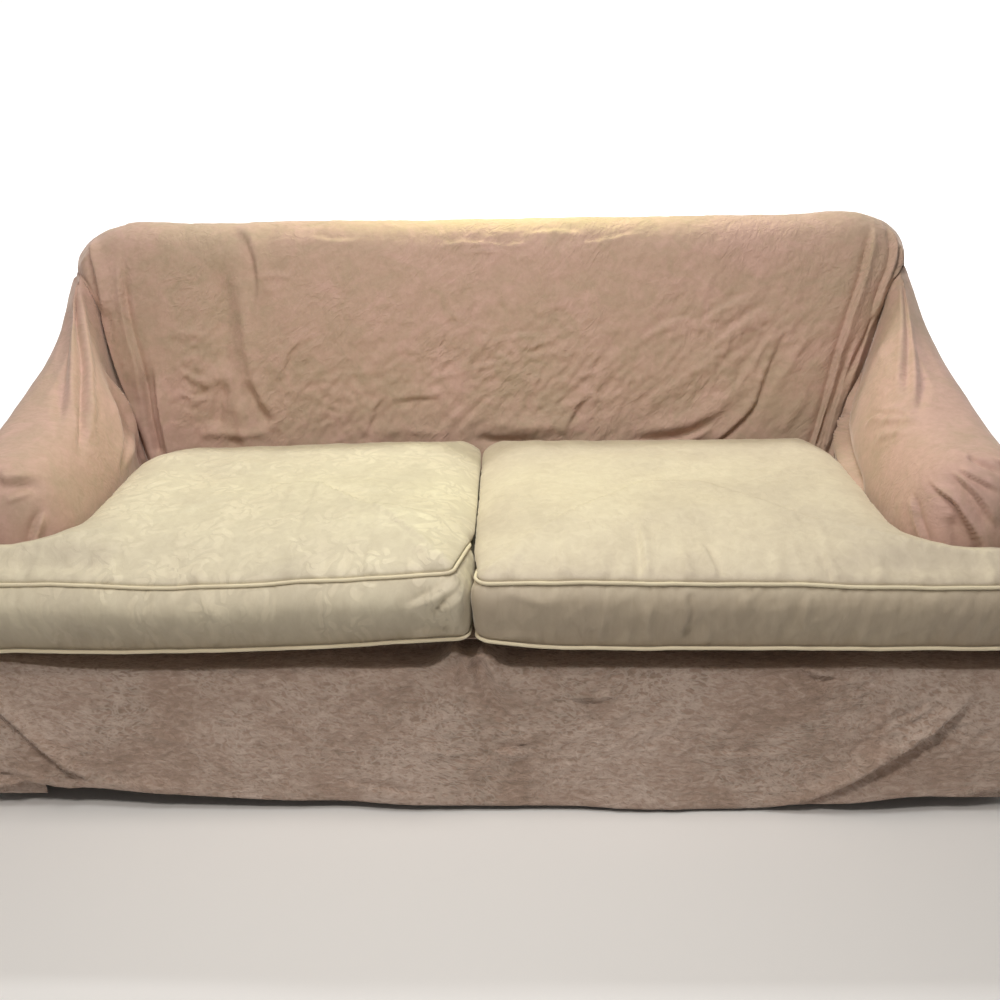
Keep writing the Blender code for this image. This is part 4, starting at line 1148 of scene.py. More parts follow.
def flap_plan(along):
    """Path of a corner flap in plan, from behind the apron round to behind the side panel."""
    corner_x = ARM_OUTER_FRONT[0] - FLAP_INSET
    corner_y = APRON_Y + FLAP_INSET
    turn_x = corner_x - FLAP_CORNER_RADIUS
    turn_y = corner_y + FLAP_CORNER_RADIUS
    bend = np.clip((along - FLAP_STRAIGHT_PART) / (1.0 - 2 * FLAP_STRAIGHT_PART), 0.0, 1.0)
    angle = math.pi / 2 * bend
    before = FLAP_LENGTH * np.maximum(0.0, 1.0 - along / FLAP_STRAIGHT_PART)
    after = FLAP_LENGTH * np.maximum(0.0, 1.0 - (1.0 - along) / FLAP_STRAIGHT_PART)
    x = turn_x + FLAP_CORNER_RADIUS * np.sin(angle) - before
    return x, turn_y - FLAP_CORNER_RADIUS * np.cos(angle) + after


def build_corner_flap(side, seed, mirrored, material):
    """Under-flap of the pleat at a front corner, which shows below the lifted hem."""
    along = spread(lambda a: np.stack(flap_plan(a), axis=-1), 0.0, 1.0, 50)
    along, up = np.meshgrid(along, np.linspace(0.0, 1.0, 56))
    x, y = flap_plan(along)
    z = mix(FLAP_HEM_Z, FLAP_TOP_Z, up)
    points = points_of(x, y, z)
    normals = grid_normals(points)
    slack = lumps("corner_flap", points, seed) * ease((1.0 - up) / 0.2)
    points = points + normals * (slack + hem_fold(z - FLAP_HEM_Z))[..., None]
    return cloth_sheet(f"velvet_corner_flap_{side}", points, mirrored, material)


def build_deck(material):
    """Level panel under the cushions, as wide as the arms at its front."""
    depth = np.concatenate(
        (
            np.linspace(DECK_FRONT_Y, DECK_WING_REAR_Y, 14),
            np.linspace(DECK_WING_REAR_Y + 0.002, BACK_TUCK_Y + DECK_MARGIN, 28),
        )
    )
    inward = ease((depth - DECK_WING_REAR_Y) / (BACK_TUCK_Y - DECK_WING_REAR_Y))
    narrow = mix(ARM_INNER_FRONT[0], ARM_INNER_REAR[0], inward) + DECK_MARGIN
    half = np.where(depth <= DECK_WING_REAR_Y, DECK_WING_HALF, narrow)
    across = np.linspace(-1.0, 1.0, 121)
    x = half[:, None] * across
    sag = lumps("deck", points_of(x, depth[:, None], 0.0), 80.0)
    points = points_of(x, depth[:, None], DECK_TOP + np.minimum(sag, 0.0))
    return cloth_sheet("velvet_deck", points, material=material)


# ---------------------------------------------------------------- seat cushions


def rounded_outline(corners):
    """Closed outline through (x, y, radius) corners."""
    points = []
    for index, corner in enumerate(corners):
        before = Vector(corners[index - 1][:2])
        here = Vector(corner[:2])
        after = Vector(corners[(index + 1) % len(corners)][:2])
        arriving = (here - before).normalized()
        leaving = (after - here).normalized()
        bend = arriving.cross(leaving)
        turn = math.atan2(bend, arriving.dot(leaving))
        inward = Vector((-arriving.y, arriving.x)) * math.copysign(1.0, bend)
        start = here - arriving * (corner[2] * abs(math.tan(turn / 2)))
        centre = start + inward * corner[2]
        spoke = start - centre
        for step in range(CORNER_STEPS + 1):
            turned = spoke.copy()
            turned.rotate(Matrix.Rotation(turn * step / CORNER_STEPS, 2))
            points.append(centre + turned)
    return np.array(points)


def even_outline(corners, spacing):
    """A rounded outline at even steps, with its outward directions and length so far."""
    loop = rounded_outline(corners)
    loop = np.concatenate((loop, loop[:1]))
    length = run_length(loop)
    count = round(length[-1] / spacing)
    at = np.arange(count) * length[-1] / count
    points = np.stack([np.interp(at, length, loop[:, axis]) for axis in (0, 1)], axis=-1)
    run = unit(np.roll(points, -1, axis=0) - np.roll(points, 1, axis=0))
    return points, np.stack((run[:, 1], -run[:, 0]), axis=-1), at


# Heights of a welt along the cushion's front: distance from the middle of the sofa, height.
LEFT_UPPER_FRONT = (
    (0.02, 0.469), (0.10, 0.463), (0.19, 0.457), (0.27, 0.453), (0.36, 0.447), (0.45, 0.4435), (0.53, 0.444),
    (0.61, 0.448), (0.70, 0.450), (0.80, 0.449), (0.90, 0.448),
)
LEFT_LOWER_FRONT = ((0.01, 0.353), (0.10, 0.349), (0.28, 0.337), (0.52, 0.330), (0.73, 0.331), (0.90, 0.331))
RIGHT_UPPER_FRONT = ((0.00, 0.449), (0.18, 0.450), (0.33, 0.447), (0.48, 0.446), (0.63, 0.440), (0.90, 0.441))
RIGHT_LOWER_FRONT = ((0.00, 0.349), (0.10, 0.339), (0.19, 0.336), (0.34, 0.336), (0.60, 0.335), (0.90, 0.335))
FRONT_FADE = 0.30

CushionShape = namedtuple(
    "CushionShape",
    "side mirrored inner_x upper_front lower_front top_creases front_creases pucker seed arm_rise rear_drop",
)
CUSHIONS = (
    CushionShape(
        "left", True, LEFT_CUSHION_INNER_X, LEFT_UPPER_FRONT, LEFT_LOWER_FRONT,
        LEFT_TOP_CREASES, LEFT_FRONT_CREASES, 0.0020, 100.0, 0.021, 0.011,
    ),
    CushionShape(
        "right", False, RIGHT_CUSHION_INNER_X, RIGHT_UPPER_FRONT, RIGHT_LOWER_FRONT,
        RIGHT_TOP_CREASES, RIGHT_FRONT_CREASES, 0.0026, 200.0, 0.017, 0.0,
    ),
)
RING_STEP = 0.0052
TOP_STEP = 0.0056
SIDE_WELT_DROP = 0.015
SIDE_WELT_INSET = 0.004
LEFT_CORNER_DEPTH = 0.070
INNER_BULGE = 0.0045


def cushion_corners(shape, level):
    """Corners of a cushion as the right one lies, from its front inner corner anticlockwise."""
    front_inner = ((shape.inner_x, 0.0, 0.022),)
    if level == "upper" and shape.mirrored:
        front_inner = ((shape.inner_x, 0.110, 0.060), (shape.inner_x + 0.021, 0.0, 0.014))
    return (
        *front_inner,
        (CUSHION_WING_X, 0.0, 0.030),
        (CUSHION_WING_X, CUSHION_WING_Y, 0.030),
        (CUSHION_NOTCH_X, CUSHION_WING_Y, 0.105),
        (CUSHION_REAR_X, CUSHION_REAR_Y, 0.085 if shape.mirrored else 0.060),
        (shape.inner_x, CUSHION_REAR_Y, 0.040),
    )


def line_noise(along, size, seed):
    """Noise along an outline."""
    places = [Vector((place / size, seed, 0.0)) for place in along]
    return np.array([noise.fractal(place, 1.0, 2.0, 2) for place in places])


def front_lift(heights, level_z, x, y):
    """How much higher than level a cushion's edge is, fading away from the front."""
    curve = smooth_line(heights)
    lift = np.interp(x, curve[:, 0], curve[:, 1]) - level_z
    return lift * (1.0 - ease(y / FRONT_FADE))


def front_share(shape, x, y):
    """1 on the cushion's front edge, 0 on its sides and rear."""
    if shape.mirrored:
        y = y - LEFT_CORNER_DEPTH * ease((shape.inner_x + 0.05 - x) / 0.03)
    return 1.0 - ease((y - 0.015) / 0.085)


def top_shift(shape, x, y):
    """How much higher a cushion's top is where it presses against the arm, and lower at its rear."""
    by_arm = ease((x - 0.49) / 0.15) * ease((0.57 - y) / 0.16) * ease((y - 0.012) / 0.055)
    return shape.arm_rise * by_arm - shape.rear_drop * ease((x - 0.15) / 0.45) * ease((y - 0.38) / 0.18)


def welt_line(shape, level):
    """Line of a cushion's upper or lower welt, slightly uneven, with its outward directions.

    On the sides and rear the upper welt lies lower and further in, under the full top.
    """
    outline, outward, along = even_outline(cushion_corners(shape, level), RING_STEP)
    x, y = outline[:, 0], outline[:, 1]
    if level == "upper":
        hidden = 1.0 - front_share(shape, x, y)
        height = UPPER_WELT_Z + front_lift(shape.upper_front, UPPER_WELT_Z, x, y) - SIDE_WELT_DROP * hidden
        height = height + top_shift(shape, x, y)
        inset = SIDE_WELT_INSET * hidden
        own_seed = shape.seed + 3.0
    else:
        height = LOWER_WELT_Z + front_lift(shape.lower_front, LOWER_WELT_Z, x, y)
        inset = np.zeros(len(x))
        own_seed = shape.seed + 6.0
    waver = 0.0014 * line_noise(along, 0.075, own_seed)
    sway = 0.0009 * line_noise(along, 0.09, own_seed + 10.0)
    outline = outline + outward * (sway - inset)[:, None]
    return points_of(outline[:, 0], outline[:, 1], height + waver), outward, along


def resample_loop(loop, parts):
    """A closed loop of evenly spaced values at the given parts of it."""
    closed = np.concatenate((loop, loop[:1]))
    even = np.linspace(0.0, 1.0, len(closed))
    return np.stack([np.interp(parts, even, closed[:, axis]) for axis in range(loop.shape[1])], axis=-1)


def puckers(along, away, reach, size, seed):
    """Gathers that run out from a seam: narrow ridges across it, each with its own length."""
    flat = np.stack((along / size, away / (size * 4.0), np.full_like(along, seed)), axis=-1)
    ridge = [noise.fractal(place, 1.0, 2.0, 2) for place in map(Vector, flat.reshape(-1, 3))]
    ridge = 0.5 - np.abs(np.array(ridge).reshape(along.shape)) * 2.0
    lengths = [
        1.0 + 0.7 * noise.noise(Vector((place / (size * 2.5), seed + 7.0, 0.0)))
        for place in along.ravel()
    ]
    own_reach = reach * np.array(lengths).reshape(along.shape)
    return ridge * np.exp(-((away / own_reach) ** 1.5)) * ease(away / 0.004 + 0.25)


BOXING_ROWS = 26
BOXING_SWELL = {"left": 0.026, "right": 0.014}
SIDE_SWELL = 0.0065
BOXING_SINK = 0.0045
BOXING_GATHERS = 0.0042
BOXING_RUMPLES = 0.0040
BOXING_CREASE_SHARE = 1.8
# Rows of cloth below the lower welt: how far in and how low
UNDERSIDE_ROWS = ((0.0140, 0.0095), (0.0095, 0.0060))
# Rows of cloth above the upper welt: how far in and how high, on the front and on the other sides.
SHOULDER_ROWS = (
    (0.0030, 0.0036, -0.0010, 0.0050),
    (0.0062, 0.0070, -0.0036, 0.0112),
    (0.0100, 0.0098, -0.0040, 0.0176),
    (0.0150, 0.0126, -0.0016, 0.0236),
    (0.0210, 0.0154, 0.0040, 0.0288),
    (0.0280, 0.0184, 0.0110, 0.0328),
)
CROWN_RISE = 0.028
# Direction in which the rim's relief stands
RIM_OUTWARD = 0.5
RIM_UPWARD = 0.87


def cushion_rings(shape, upper, upper_out, lower, lower_out, along):
    """Closed rows of the cushion's cloth, from its bottom edge up to the rim of its top."""
    count = len(upper)
    level = np.zeros((count, 1))
    rings = []
    for inset, drop in UNDERSIDE_ROWS:
        rings.append(lower - np.concatenate((lower_out * inset, level + drop), axis=1))
    facing = np.maximum(-upper_out[:, 1], 0.0)
    touching = INNER_BULGE * np.maximum(-upper_out[:, 0], 0.0) * (upper[:, 0] < 0.2)
    swell = mix(SIDE_SWELL, BOXING_SWELL[shape.side], facing) + touching
    for row in range(BOXING_ROWS + 1):
        climb = row / BOXING_ROWS
        outward = unit(mix(lower_out, upper_out, climb))
        middle = mix(lower, upper, climb)
        inside = 0 < row < BOXING_ROWS
        calm = math.sin(math.pi * climb) ** 0.5 if inside else 0.0
        full = mix(calm, math.sin(math.pi * climb**1.7) ** 0.9 if inside else 0.0, facing)
        below = climb * (UPPER_WELT_Z - LOWER_WELT_Z)
        above = (1.0 - climb) * (UPPER_WELT_Z - LOWER_WELT_Z)
        gathers = puckers(along, np.full(count, below), 0.034, 0.026, shape.seed + 20.0)
        gathers = gathers + puckers(along, np.full(count, above), 0.030, 0.022, shape.seed + 30.0)
        rumple = crinkles(middle, 0.026, shape.seed + 40.0, (0.15, 0.0, 1.0), 2.2) - 0.5
        place = np.stack((middle[:, 0], middle[:, 2]), axis=-1)
        crease = crease_heights(place, shape.front_creases) * facing
        slack = BOXING_GATHERS * gathers + BOXING_RUMPLES * rumple + BOXING_CREASE_SHARE * crease
        push = swell * full - BOXING_SINK + slack * calm
        rings.append(middle + np.concatenate((outward * push[:, None], level), axis=1))
    front = front_share(shape, upper[:, 0], upper[:, 1])
    eased_out = eased_directions(upper_out)
    walked = np.zeros(count)
    before = upper
    for front_inset, front_rise, side_inset, side_rise in SHOULDER_ROWS:
        inset = mix(side_inset - touching, front_inset, front)
        rise = mix(side_rise, front_rise, front)
        ring = upper + np.concatenate((-eased_out * inset[:, None], rise[:, None]), axis=1)
        walked = walked + np.linalg.norm(ring - before, axis=1)
        before = ring
        relief = top_relief(shape, ring[:, :2], along, walked, front) * ease(walked / 0.010)
        leaning = np.concatenate((eased_out * RIM_OUTWARD, level + RIM_UPWARD), axis=1)
        rings.append(ring + leaning * relief[:, None])
    return rings, walked


def averaged_loop(values, window):
    """Values round a closed line, each averaged with its neighbours within the window."""
    kernel = np.ones(2 * window + 1) / (2 * window + 1)
    padded = np.concatenate((values[-window:], values, values[:window]))
    return np.convolve(padded, kernel, mode="valid")


def eased_directions(directions):
    """Directions along an outline averaged with their neighbours, so that sharp corners fan out."""
    return np.stack([averaged_loop(directions[:, axis], 7) for axis in (0, 1)], axis=-1)


def top_relief(shape, places, seam_place, distance, front):
    """Puckers, soft wrinkles and listed creases of a cushion's top."""
    gathers = puckers(seam_place, distance, mix(0.030, 0.055, front), 0.030, shape.seed + 50.0)
    flat = points_of(places[:, 0], places[:, 1], 0.0)
    rumple = lumps("cushion_rim", flat * (1.6, 1.0, 1.0), shape.seed + 70.0)
    return shape.pucker * gathers + rumple + 1.2 * crease_heights(places, shape.top_creases)


def cushion_top(shape, inner, rim, walked, along):
    """Heights of the crowned top inside its rim, with its puckers and hollows."""
    distance, seam_place = seam_distance(inner, rim[:, :2], along)
    whole = along[1] * len(along)
    rim_z = np.interp(seam_place, along, rim[:, 2] - top_shift(shape, rim[:, 0], rim[:, 1]), period=whole)
    from_welt = distance + np.interp(seam_place, along, walked, period=whole)
    front = 1.0 - ease(inner[:, 1] / 0.30)
    crown = CROWN_RISE * (1.0 - np.exp(-distance / mix(0.045, 0.070, front)))
    flat = points_of(inner[:, 0], inner[:, 1], 0.0)
    swell = lumps("cushion_top", flat, shape.seed + 60.0) * ease(distance / 0.08)
    at_front = front_share(shape, rim[:, 0], rim[:, 1])
    rim_relief = RIM_UPWARD * top_relief(shape, rim[:, :2], along, walked, at_front)
    blend = ease(distance / 0.020)
    at_front = front_share(shape, inner[:, 0], inner[:, 1])
    relief = top_relief(shape, inner, seam_place, from_welt, at_front)
    at_rim = np.interp(seam_place, along, rim_relief, period=whole)
    return rim_z + crown + swell + (relief - at_rim) * blend + top_shift(shape, inner[:, 0], inner[:, 1])


def build_cushion(shape, material):
    """Filled cushion: boxing between two welts, flat bottom and crowned, slightly gathered top."""
    upper, upper_out, along = welt_line(shape, "upper")
    lower, lower_out, _ = welt_line(shape, "lower")
    count = len(upper)
    parts = np.arange(count) / count
    lower_out = resample_loop(lower_out, corner_parts(lower, upper, parts))
    lower = resample_loop(lower, corner_parts(lower, upper, parts))
    rings, walked = cushion_rings(shape, upper, upper_out, lower, unit(lower_out), along)
    faces = []
    index = np.arange(count)
    after = (index + 1) % count
    for row in range(len(rings) - 1):
        low = row * count
        high = low + count
        faces += np.stack((low + index, low + after, high + after, high + index), axis=-1).tolist()
    vertices = list(rings)

    rim = rings[-1]
    places, top_faces = fill_outline(rim[:, :2], TOP_STEP)
    inner = places[count:]
    vertices.append(points_of(inner[:, 0], inner[:, 1], cushion_top(shape, inner, rim, walked, along)))
    rim_start = (len(rings) - 1) * count
    faces += [[rim_start + corner for corner in face] for face in top_faces]

    bottom_start = len(rings) * count + len(inner)
    bottom_places, bottom_faces = fill_outline(rings[0][:, :2], 0.03)
    bottom = bottom_places[count:]
    bottom_z = CUSHION_BOTTOM_Z + front_lift(shape.lower_front, LOWER_WELT_Z, bottom[:, 0], bottom[:, 1])
    vertices.append(points_of(bottom[:, 0], bottom[:, 1], bottom_z))
    for face in bottom_faces:
        turned = [corner if corner < count else bottom_start + corner - count for corner in face]
        faces.append(turned[::-1])

    piece = new_piece(f"cream_cushion_{shape.side}", np.concatenate(vertices), faces, shape.mirrored)
    piece.data.materials.append(material)
    return piece


def corner_parts(lower, upper, parts):
    """Parts of the lower line that lie nearest to even parts of the upper one."""
    closed = np.concatenate((lower, lower[:1]))
    length = run_length(closed)
    away = np.linalg.norm(upper[:, None, :2] - lower[None, :, :2], axis=2)
    nearest = length[np.argmin(away, axis=1)] / length[-1]
    shift = (nearest - parts + 0.5) % 1.0 - 0.5
    return (parts + averaged_loop(shift, 9)) % 1.0


def seam_distance(places, seam, along):
    """Distance from each place to a closed seam, and where along the seam that is."""
    nearest = np.full(len(places), np.inf)
    where = np.zeros(len(places))
    step = along[1]
    for index in range(len(seam)):
        run = seam[(index + 1) % len(seam)] - seam[index]
        from_start = places - seam[index]
        part = np.clip(from_start @ run / (run @ run), 0.0, 1.0)
        distance = np.linalg.norm(from_start - part[:, None] * run, axis=1)
        closer = distance < nearest
        nearest[closer] = distance[closer]
        where[closer] = along[index] + part[closer] * step
    return nearest, where


def fill_outline(outline, spacing):
    """Triangles between an outline and an even grid of places inside it."""
    low = outline.min(0)
    high = outline.max(0)
    columns = np.arange(low[0], high[0], spacing)
    rows = np.arange(low[1], high[1], spacing * math.sqrt(3) / 2)
    x, y = np.meshgrid(columns, rows)
    x = x + spacing / 2 * (np.arange(len(rows)) % 2)[:, None]
    grid = np.stack((x.ravel(), y.ravel()), axis=-1)
    after = np.roll(outline, -1, axis=0)
    crossings = np.zeros(len(grid), int)
    for start, end in zip(outline, after):
        if start[1] != end[1]:
            between = (start[1] > grid[:, 1]) != (end[1] > grid[:, 1])
            cut = start[0] + (grid[:, 1] - start[1]) * (end[0] - start[0]) / (end[1] - start[1])
            crossings += between & (cut > grid[:, 0])
    grid = grid[crossings % 2 == 1]
    distance, _ = seam_distance(grid, outline, np.arange(len(outline), dtype=float))
    grid = grid[distance > spacing * 0.6]
    count = len(outline)
    edges = [(index, (index + 1) % count) for index in range(count)]
    places = [Vector(place) for place in np.concatenate((outline, grid))]
    result = delaunay_2d_cdt(places, edges, [], 1, 0.0)
    return np.array([tuple(place) for place in result[0]]), [list(face) for face in result[2]]


def build_welt(shape, level, material):
    """Covered cord sewn round a cushion's edge."""
    line, outward, along = welt_line(shape, level)
    sides = WELT_SIDES
    count = len(line)
    run = unit(np.roll(line, -1, axis=0) - np.roll(line, 1, axis=0))
    out = np.concatenate((outward, np.zeros((count, 1))), axis=1)
    out = unit(out - run * np.sum(out * run, axis=1, keepdims=True))
    up = np.cross(run, out)
    up = up * np.sign(up[:, 2:3])
    radius = WELT_RADIUS * (1.0 + 0.06 * line_noise(along, 0.02, shape.seed + 80.0))
    rings = []
    for step in range(sides):
        angle = 2 * math.pi * step / sides
        sideways = out * (radius * math.cos(angle))[:, None]
        rings.append(line + sideways + up * (radius * math.sin(angle))[:, None])
    vertices = np.stack(rings, axis=1).reshape(-1, 3)
    faces = []
    uvs = []
    for index in range(count):
        after = (index + 1) % count
        start, end = index * sides, after * sides
        for step in range(sides):
            turn = (step + 1) % sides
            faces.append([start + step, start + turn, end + turn, end + step])
            low = step / sides * 2 * math.pi * WELT_RADIUS
            high = (step + 1) / sides * 2 * math.pi * WELT_RADIUS
            here = along[index]
            there = along[index] + along[1]
            uvs.append([(here, low), (here, high), (there, high), (there, low)])
    piece = new_piece(f"cream_welt_{level}_{shape.side}", vertices, faces, shape.mirrored, uvs)
    surface = bmesh.new()
    surface.from_mesh(piece.data)
    bmesh.ops.recalc_face_normals(surface, faces=surface.faces)
    surface.to_mesh(piece.data)
    surface.free()
    piece.data.materials.append(material)
    return piece


# ---------------------------------------------------------------- materials


def new_material(name, roughness, sheen, sheen_roughness, sheen_tint):
    """A cloth material with its fixed values set on the shader."""
    material = bpy.data.materials.new(name)
    material.use_nodes = True
    shader = material.node_tree.nodes["Principled BSDF"]
    shader.inputs["Roughness"].default_value = roughness
    shader.inputs["Sheen Weight"].default_value = sheen
    shader.inputs["Sheen Roughness"].default_value = sheen_roughness
    shader.inputs["Sheen Tint"].default_value = (*sheen_tint, 1.0)
    shader.inputs["Specular IOR Level"].default_value = 0.25
    return material, material.node_tree, shader


def object_places(tree):
    """Object coordinates, in metres."""
    return tree.nodes.new("ShaderNodeTexCoord").outputs["Object"]


def stretched(tree, source, scale, rotation=(0.0, 0.0, 0.0)):
    """Coordinates turned and then scaled."""
    mapping = tree.nodes.new("ShaderNodeMapping")
    mapping.inputs["Rotation"].default_value = rotation
    mapping.inputs["Scale"].default_value = scale
    tree.links.new(source, mapping.inputs["Vector"])
    return mapping.outputs["Vector"]


def noise_value(tree, source, scale, detail, roughness, distortion):
    """Noise texture of a scale."""
    texture = tree.nodes.new("ShaderNodeTexNoise")
    texture.inputs["Scale"].default_value = scale
    texture.inputs["Detail"].default_value = detail
    texture.inputs["Roughness"].default_value = roughness
    texture.inputs["Distortion"].default_value = distortion
    tree.links.new(source, texture.inputs["Vector"])
    return texture.outputs["Fac"]


def calculated(tree, operation, first, second=0.0, third=0.0):
    """One math step on values or sockets."""
    step = tree.nodes.new("ShaderNodeMath")
    step.operation = operation
    for slot, value in enumerate((first, second, third)):
        if isinstance(value, bpy.types.NodeSocket):
            tree.links.new(value, step.inputs[slot])
        elif slot < len(step.inputs):
            step.inputs[slot].default_value = value
    return step.outputs[0]


def ranged(tree, value, low, high, to_low=0.0, to_high=1.0):
    """A value mapped from one range to another, smoothly and clamped."""
    step = tree.nodes.new("ShaderNodeMapRange")
    step.interpolation_type = "SMOOTHSTEP"
    for slot, bound in zip(("From Min", "From Max", "To Min", "To Max"), (low, high, to_low, to_high)):
        step.inputs[slot].default_value = bound
    tree.links.new(value, step.inputs["Value"])
    return step.outputs["Result"]


def colours(tree, value, stops):
    """A colour ramp of (place, colour) stops."""
    ramp = tree.nodes.new("ShaderNodeValToRGB")
    ramp.color_ramp.elements[0].position = stops[0][0]
    ramp.color_ramp.elements[0].color = (*stops[0][1], 1.0)
    ramp.color_ramp.elements[1].position = stops[-1][0]
    ramp.color_ramp.elements[1].color = (*stops[-1][1], 1.0)
    for place, colour in stops[1:-1]:
        ramp.color_ramp.elements.new(place).color = (*colour, 1.0)
    tree.links.new(value, ramp.inputs["Fac"])
    return ramp.outputs["Color"]


def blended(tree, amount, first, second, kind="MIX"):
    """Two colours mixed by an amount."""
    step = tree.nodes.new("ShaderNodeMix")
    step.data_type = "RGBA"
    step.blend_type = kind
    for slot, value in ((0, amount), (6, first), (7, second)):
        if isinstance(value, bpy.types.NodeSocket):
            tree.links.new(value, step.inputs[slot])
        elif slot == 0:
            step.inputs[slot].default_value = value
        else:
            step.inputs[slot].default_value = (*value, 1.0)
    return step.outputs[2]


def bumped(tree, height, distance, strength=1.0, under=None):
    """A bump of a height in metres on top of another."""
    bump = tree.nodes.new("ShaderNodeBump")
    bump.inputs["Distance"].default_value = distance
    bump.inputs["Strength"].default_value = strength
    tree.links.new(height, bump.inputs["Height"])
    if under is not None:
        tree.links.new(under, bump.inputs["Normal"])
    return bump.outputs["Normal"]


def product(tree, first, second):
    """Two values multiplied."""
    return calculated(tree, "MULTIPLY", first, second)


def coordinates(tree, places):
    """The three coordinates of places."""
    parts = tree.nodes.new("ShaderNodeSeparateXYZ")
    tree.links.new(places, parts.inputs[0])
    return parts.outputs[0], parts.outputs[1], parts.outputs[2]


def tinted(tree, tone, value, stops):
    """A colour multiplied by the tint that a value gives."""
    return blended(tree, 1.0, tone, colours(tree, value, stops), "MULTIPLY")


def vector_step(tree, operation, first, second):
    """One vector step on sockets or values."""
    step = tree.nodes.new("ShaderNodeVectorMath")
    step.operation = operation
    for slot, value in enumerate((first, second)):
        if isinstance(value, bpy.types.NodeSocket):
            tree.links.new(value, step.inputs[slot])
        else:
            step.inputs[slot].default_value = value
    return step.outputs[0]


def noise_vector(tree, source, scale):
    """Three noises round zero, to bend other patterns."""
    texture = tree.nodes.new("ShaderNodeTexNoise")
    texture.inputs["Scale"].default_value = scale
    texture.inputs["Detail"].default_value = 1.0
    tree.links.new(source, texture.inputs["Vector"])
    return vector_step(tree, "SUBTRACT", texture.outputs["Color"], (0.5, 0.5, 0.5))


def crush_lines(tree, places, size, slant, length):
    """Narrow crushed lines from 0 to 1, about size apart and length times as long, on a slant."""
    bend = vector_step(tree, "MULTIPLY", noise_vector(tree, places, 5.0), (0.09, 0.09, 0.09))
    bent = vector_step(tree, "ADD", places, bend)
    turned = stretched(tree, bent, (1.0, 1.0, 1.0), (0.0, math.radians(slant), 0.0))
    fitted = stretched(tree, turned, (1.0, 1.0, 1.0 / length))
    field = noise_value(tree, fitted, 1.0 / size, 2.0, 0.5, 0.3)
    away = calculated(tree, "ABSOLUTE", calculated(tree, "SUBTRACT", field, 0.5))
    return ranged(tree, away, 0.0, 0.16, 1.0, 0.0)


# Colours are linear.  A tint multiplies the colours of one piece's cloth.
VELVET_BEIGE = (0.500, 0.380, 0.283)
VELVET_MID = (0.540, 0.384, 0.302)
VELVET_PINK = (0.580, 0.394, 0.330)
ARM_TINT = (1.0, 0.98, 1.0)
# The skirt's colours are darker and greyer than the velvet's above; their darkness is painted shade on a copy
# of the same velvet
SKIRT_SHADE = (0.300, 0.222, 0.172)
SKIRT_MID = (0.425, 0.308, 0.248)
SKIRT_LIGHT = (0.580, 0.462, 0.398)
# Colour of the pale specks of painted sheen on the skirt's crush lines
SKIRT_SHEEN_FLECK = (0.78, 0.68, 0.61)
CREAM_MID = (0.710, 0.632, 0.462)
CREAM_LIGHT = (0.760, 0.686, 0.500)
CREAM_SHADE = (0.640, 0.565, 0.420)
CREAM_GROUND = (0.50, 0.455, 0.350)
LEAFY_TINT = (1.0, 1.02, 1.07)
PLAIN_TINT = (0.92, 0.91, 0.97)
WHITE = (1.0, 1.0, 1.0)
FLOOR_GREY = (0.86, 0.86, 0.86)
# Painted shade on a cushion's boxing, darker towards the floor: the heights above the floor between which it
# fades out upwards, and its tints upwards
LEAFY_BOXING_SHADE = (0.335, 0.440, ((0.0, (0.66, 0.62, 0.60)), (1.0, WHITE)))
PLAIN_BOXING_SHADE = (0.335, 0.460, ((0.0, (0.64, 0.60, 0.58)), (0.78, (0.77, 0.74, 0.72)), (1.0, WHITE)))
FULL_TURN = 6.28


def velvet_material(name, crush, slant, tint):
    """Dusty pink crushed velvet: cloudy colour, short soft crush lines and a gentle sheen."""
    material, tree, shader = new_material(name, 0.80, 0.42, 0.40, (1.0, 0.88, 0.80))
    places = object_places(tree)
    cloud = noise_value(tree, places, 3.0, 2.0, 0.5, 0.3)
    patch = noise_value(tree, places, 24.0, 3.0, 0.6, 0.8)
    nap = noise_value(tree, places, 330.0, 1.0, 0.5, 0.0)
    brushed = noise_value(tree, places, 95.0, 3.0, 0.6, 0.6)
    value = calculated(tree, "MULTIPLY_ADD", patch, 0.45, product(tree, cloud, 0.55))
    velvets = (VELVET_BEIGE, VELVET_MID, VELVET_PINK)
    beige, mid, pink = (tuple(np.multiply(velvet, tint)) for velvet in velvets)
    tone = colours(tree, value, ((0.38, beige), (0.50, mid), (0.62, pink)))
    tone = tinted(tree, tone, patch, ((0.30, (0.93, 0.925, 0.92)), (0.70, WHITE)))
    tone = tinted(tree, tone, brushed, ((0.34, (0.92, 0.91, 0.90)), (0.66, WHITE)))
    tree.links.new(tone, shader.inputs["Base Color"])
    patches = ranged(tree, noise_value(tree, places, 6.5, 2.0, 0.5, 0.2), 0.40, 0.60, 0.25, 1.0)
    lines = product(tree, crush_lines(tree, places, 0.015, slant, 2.2), patches)
    normal = bumped(tree, lines, 0.0016 * crush, 0.8)
    normal = bumped(tree, patch, 0.0020 * crush, 0.7, normal)
    normal = bumped(tree, nap, 0.00025, 0.5, normal)
    tree.links.new(normal, shader.inputs["Normal"])
    return material


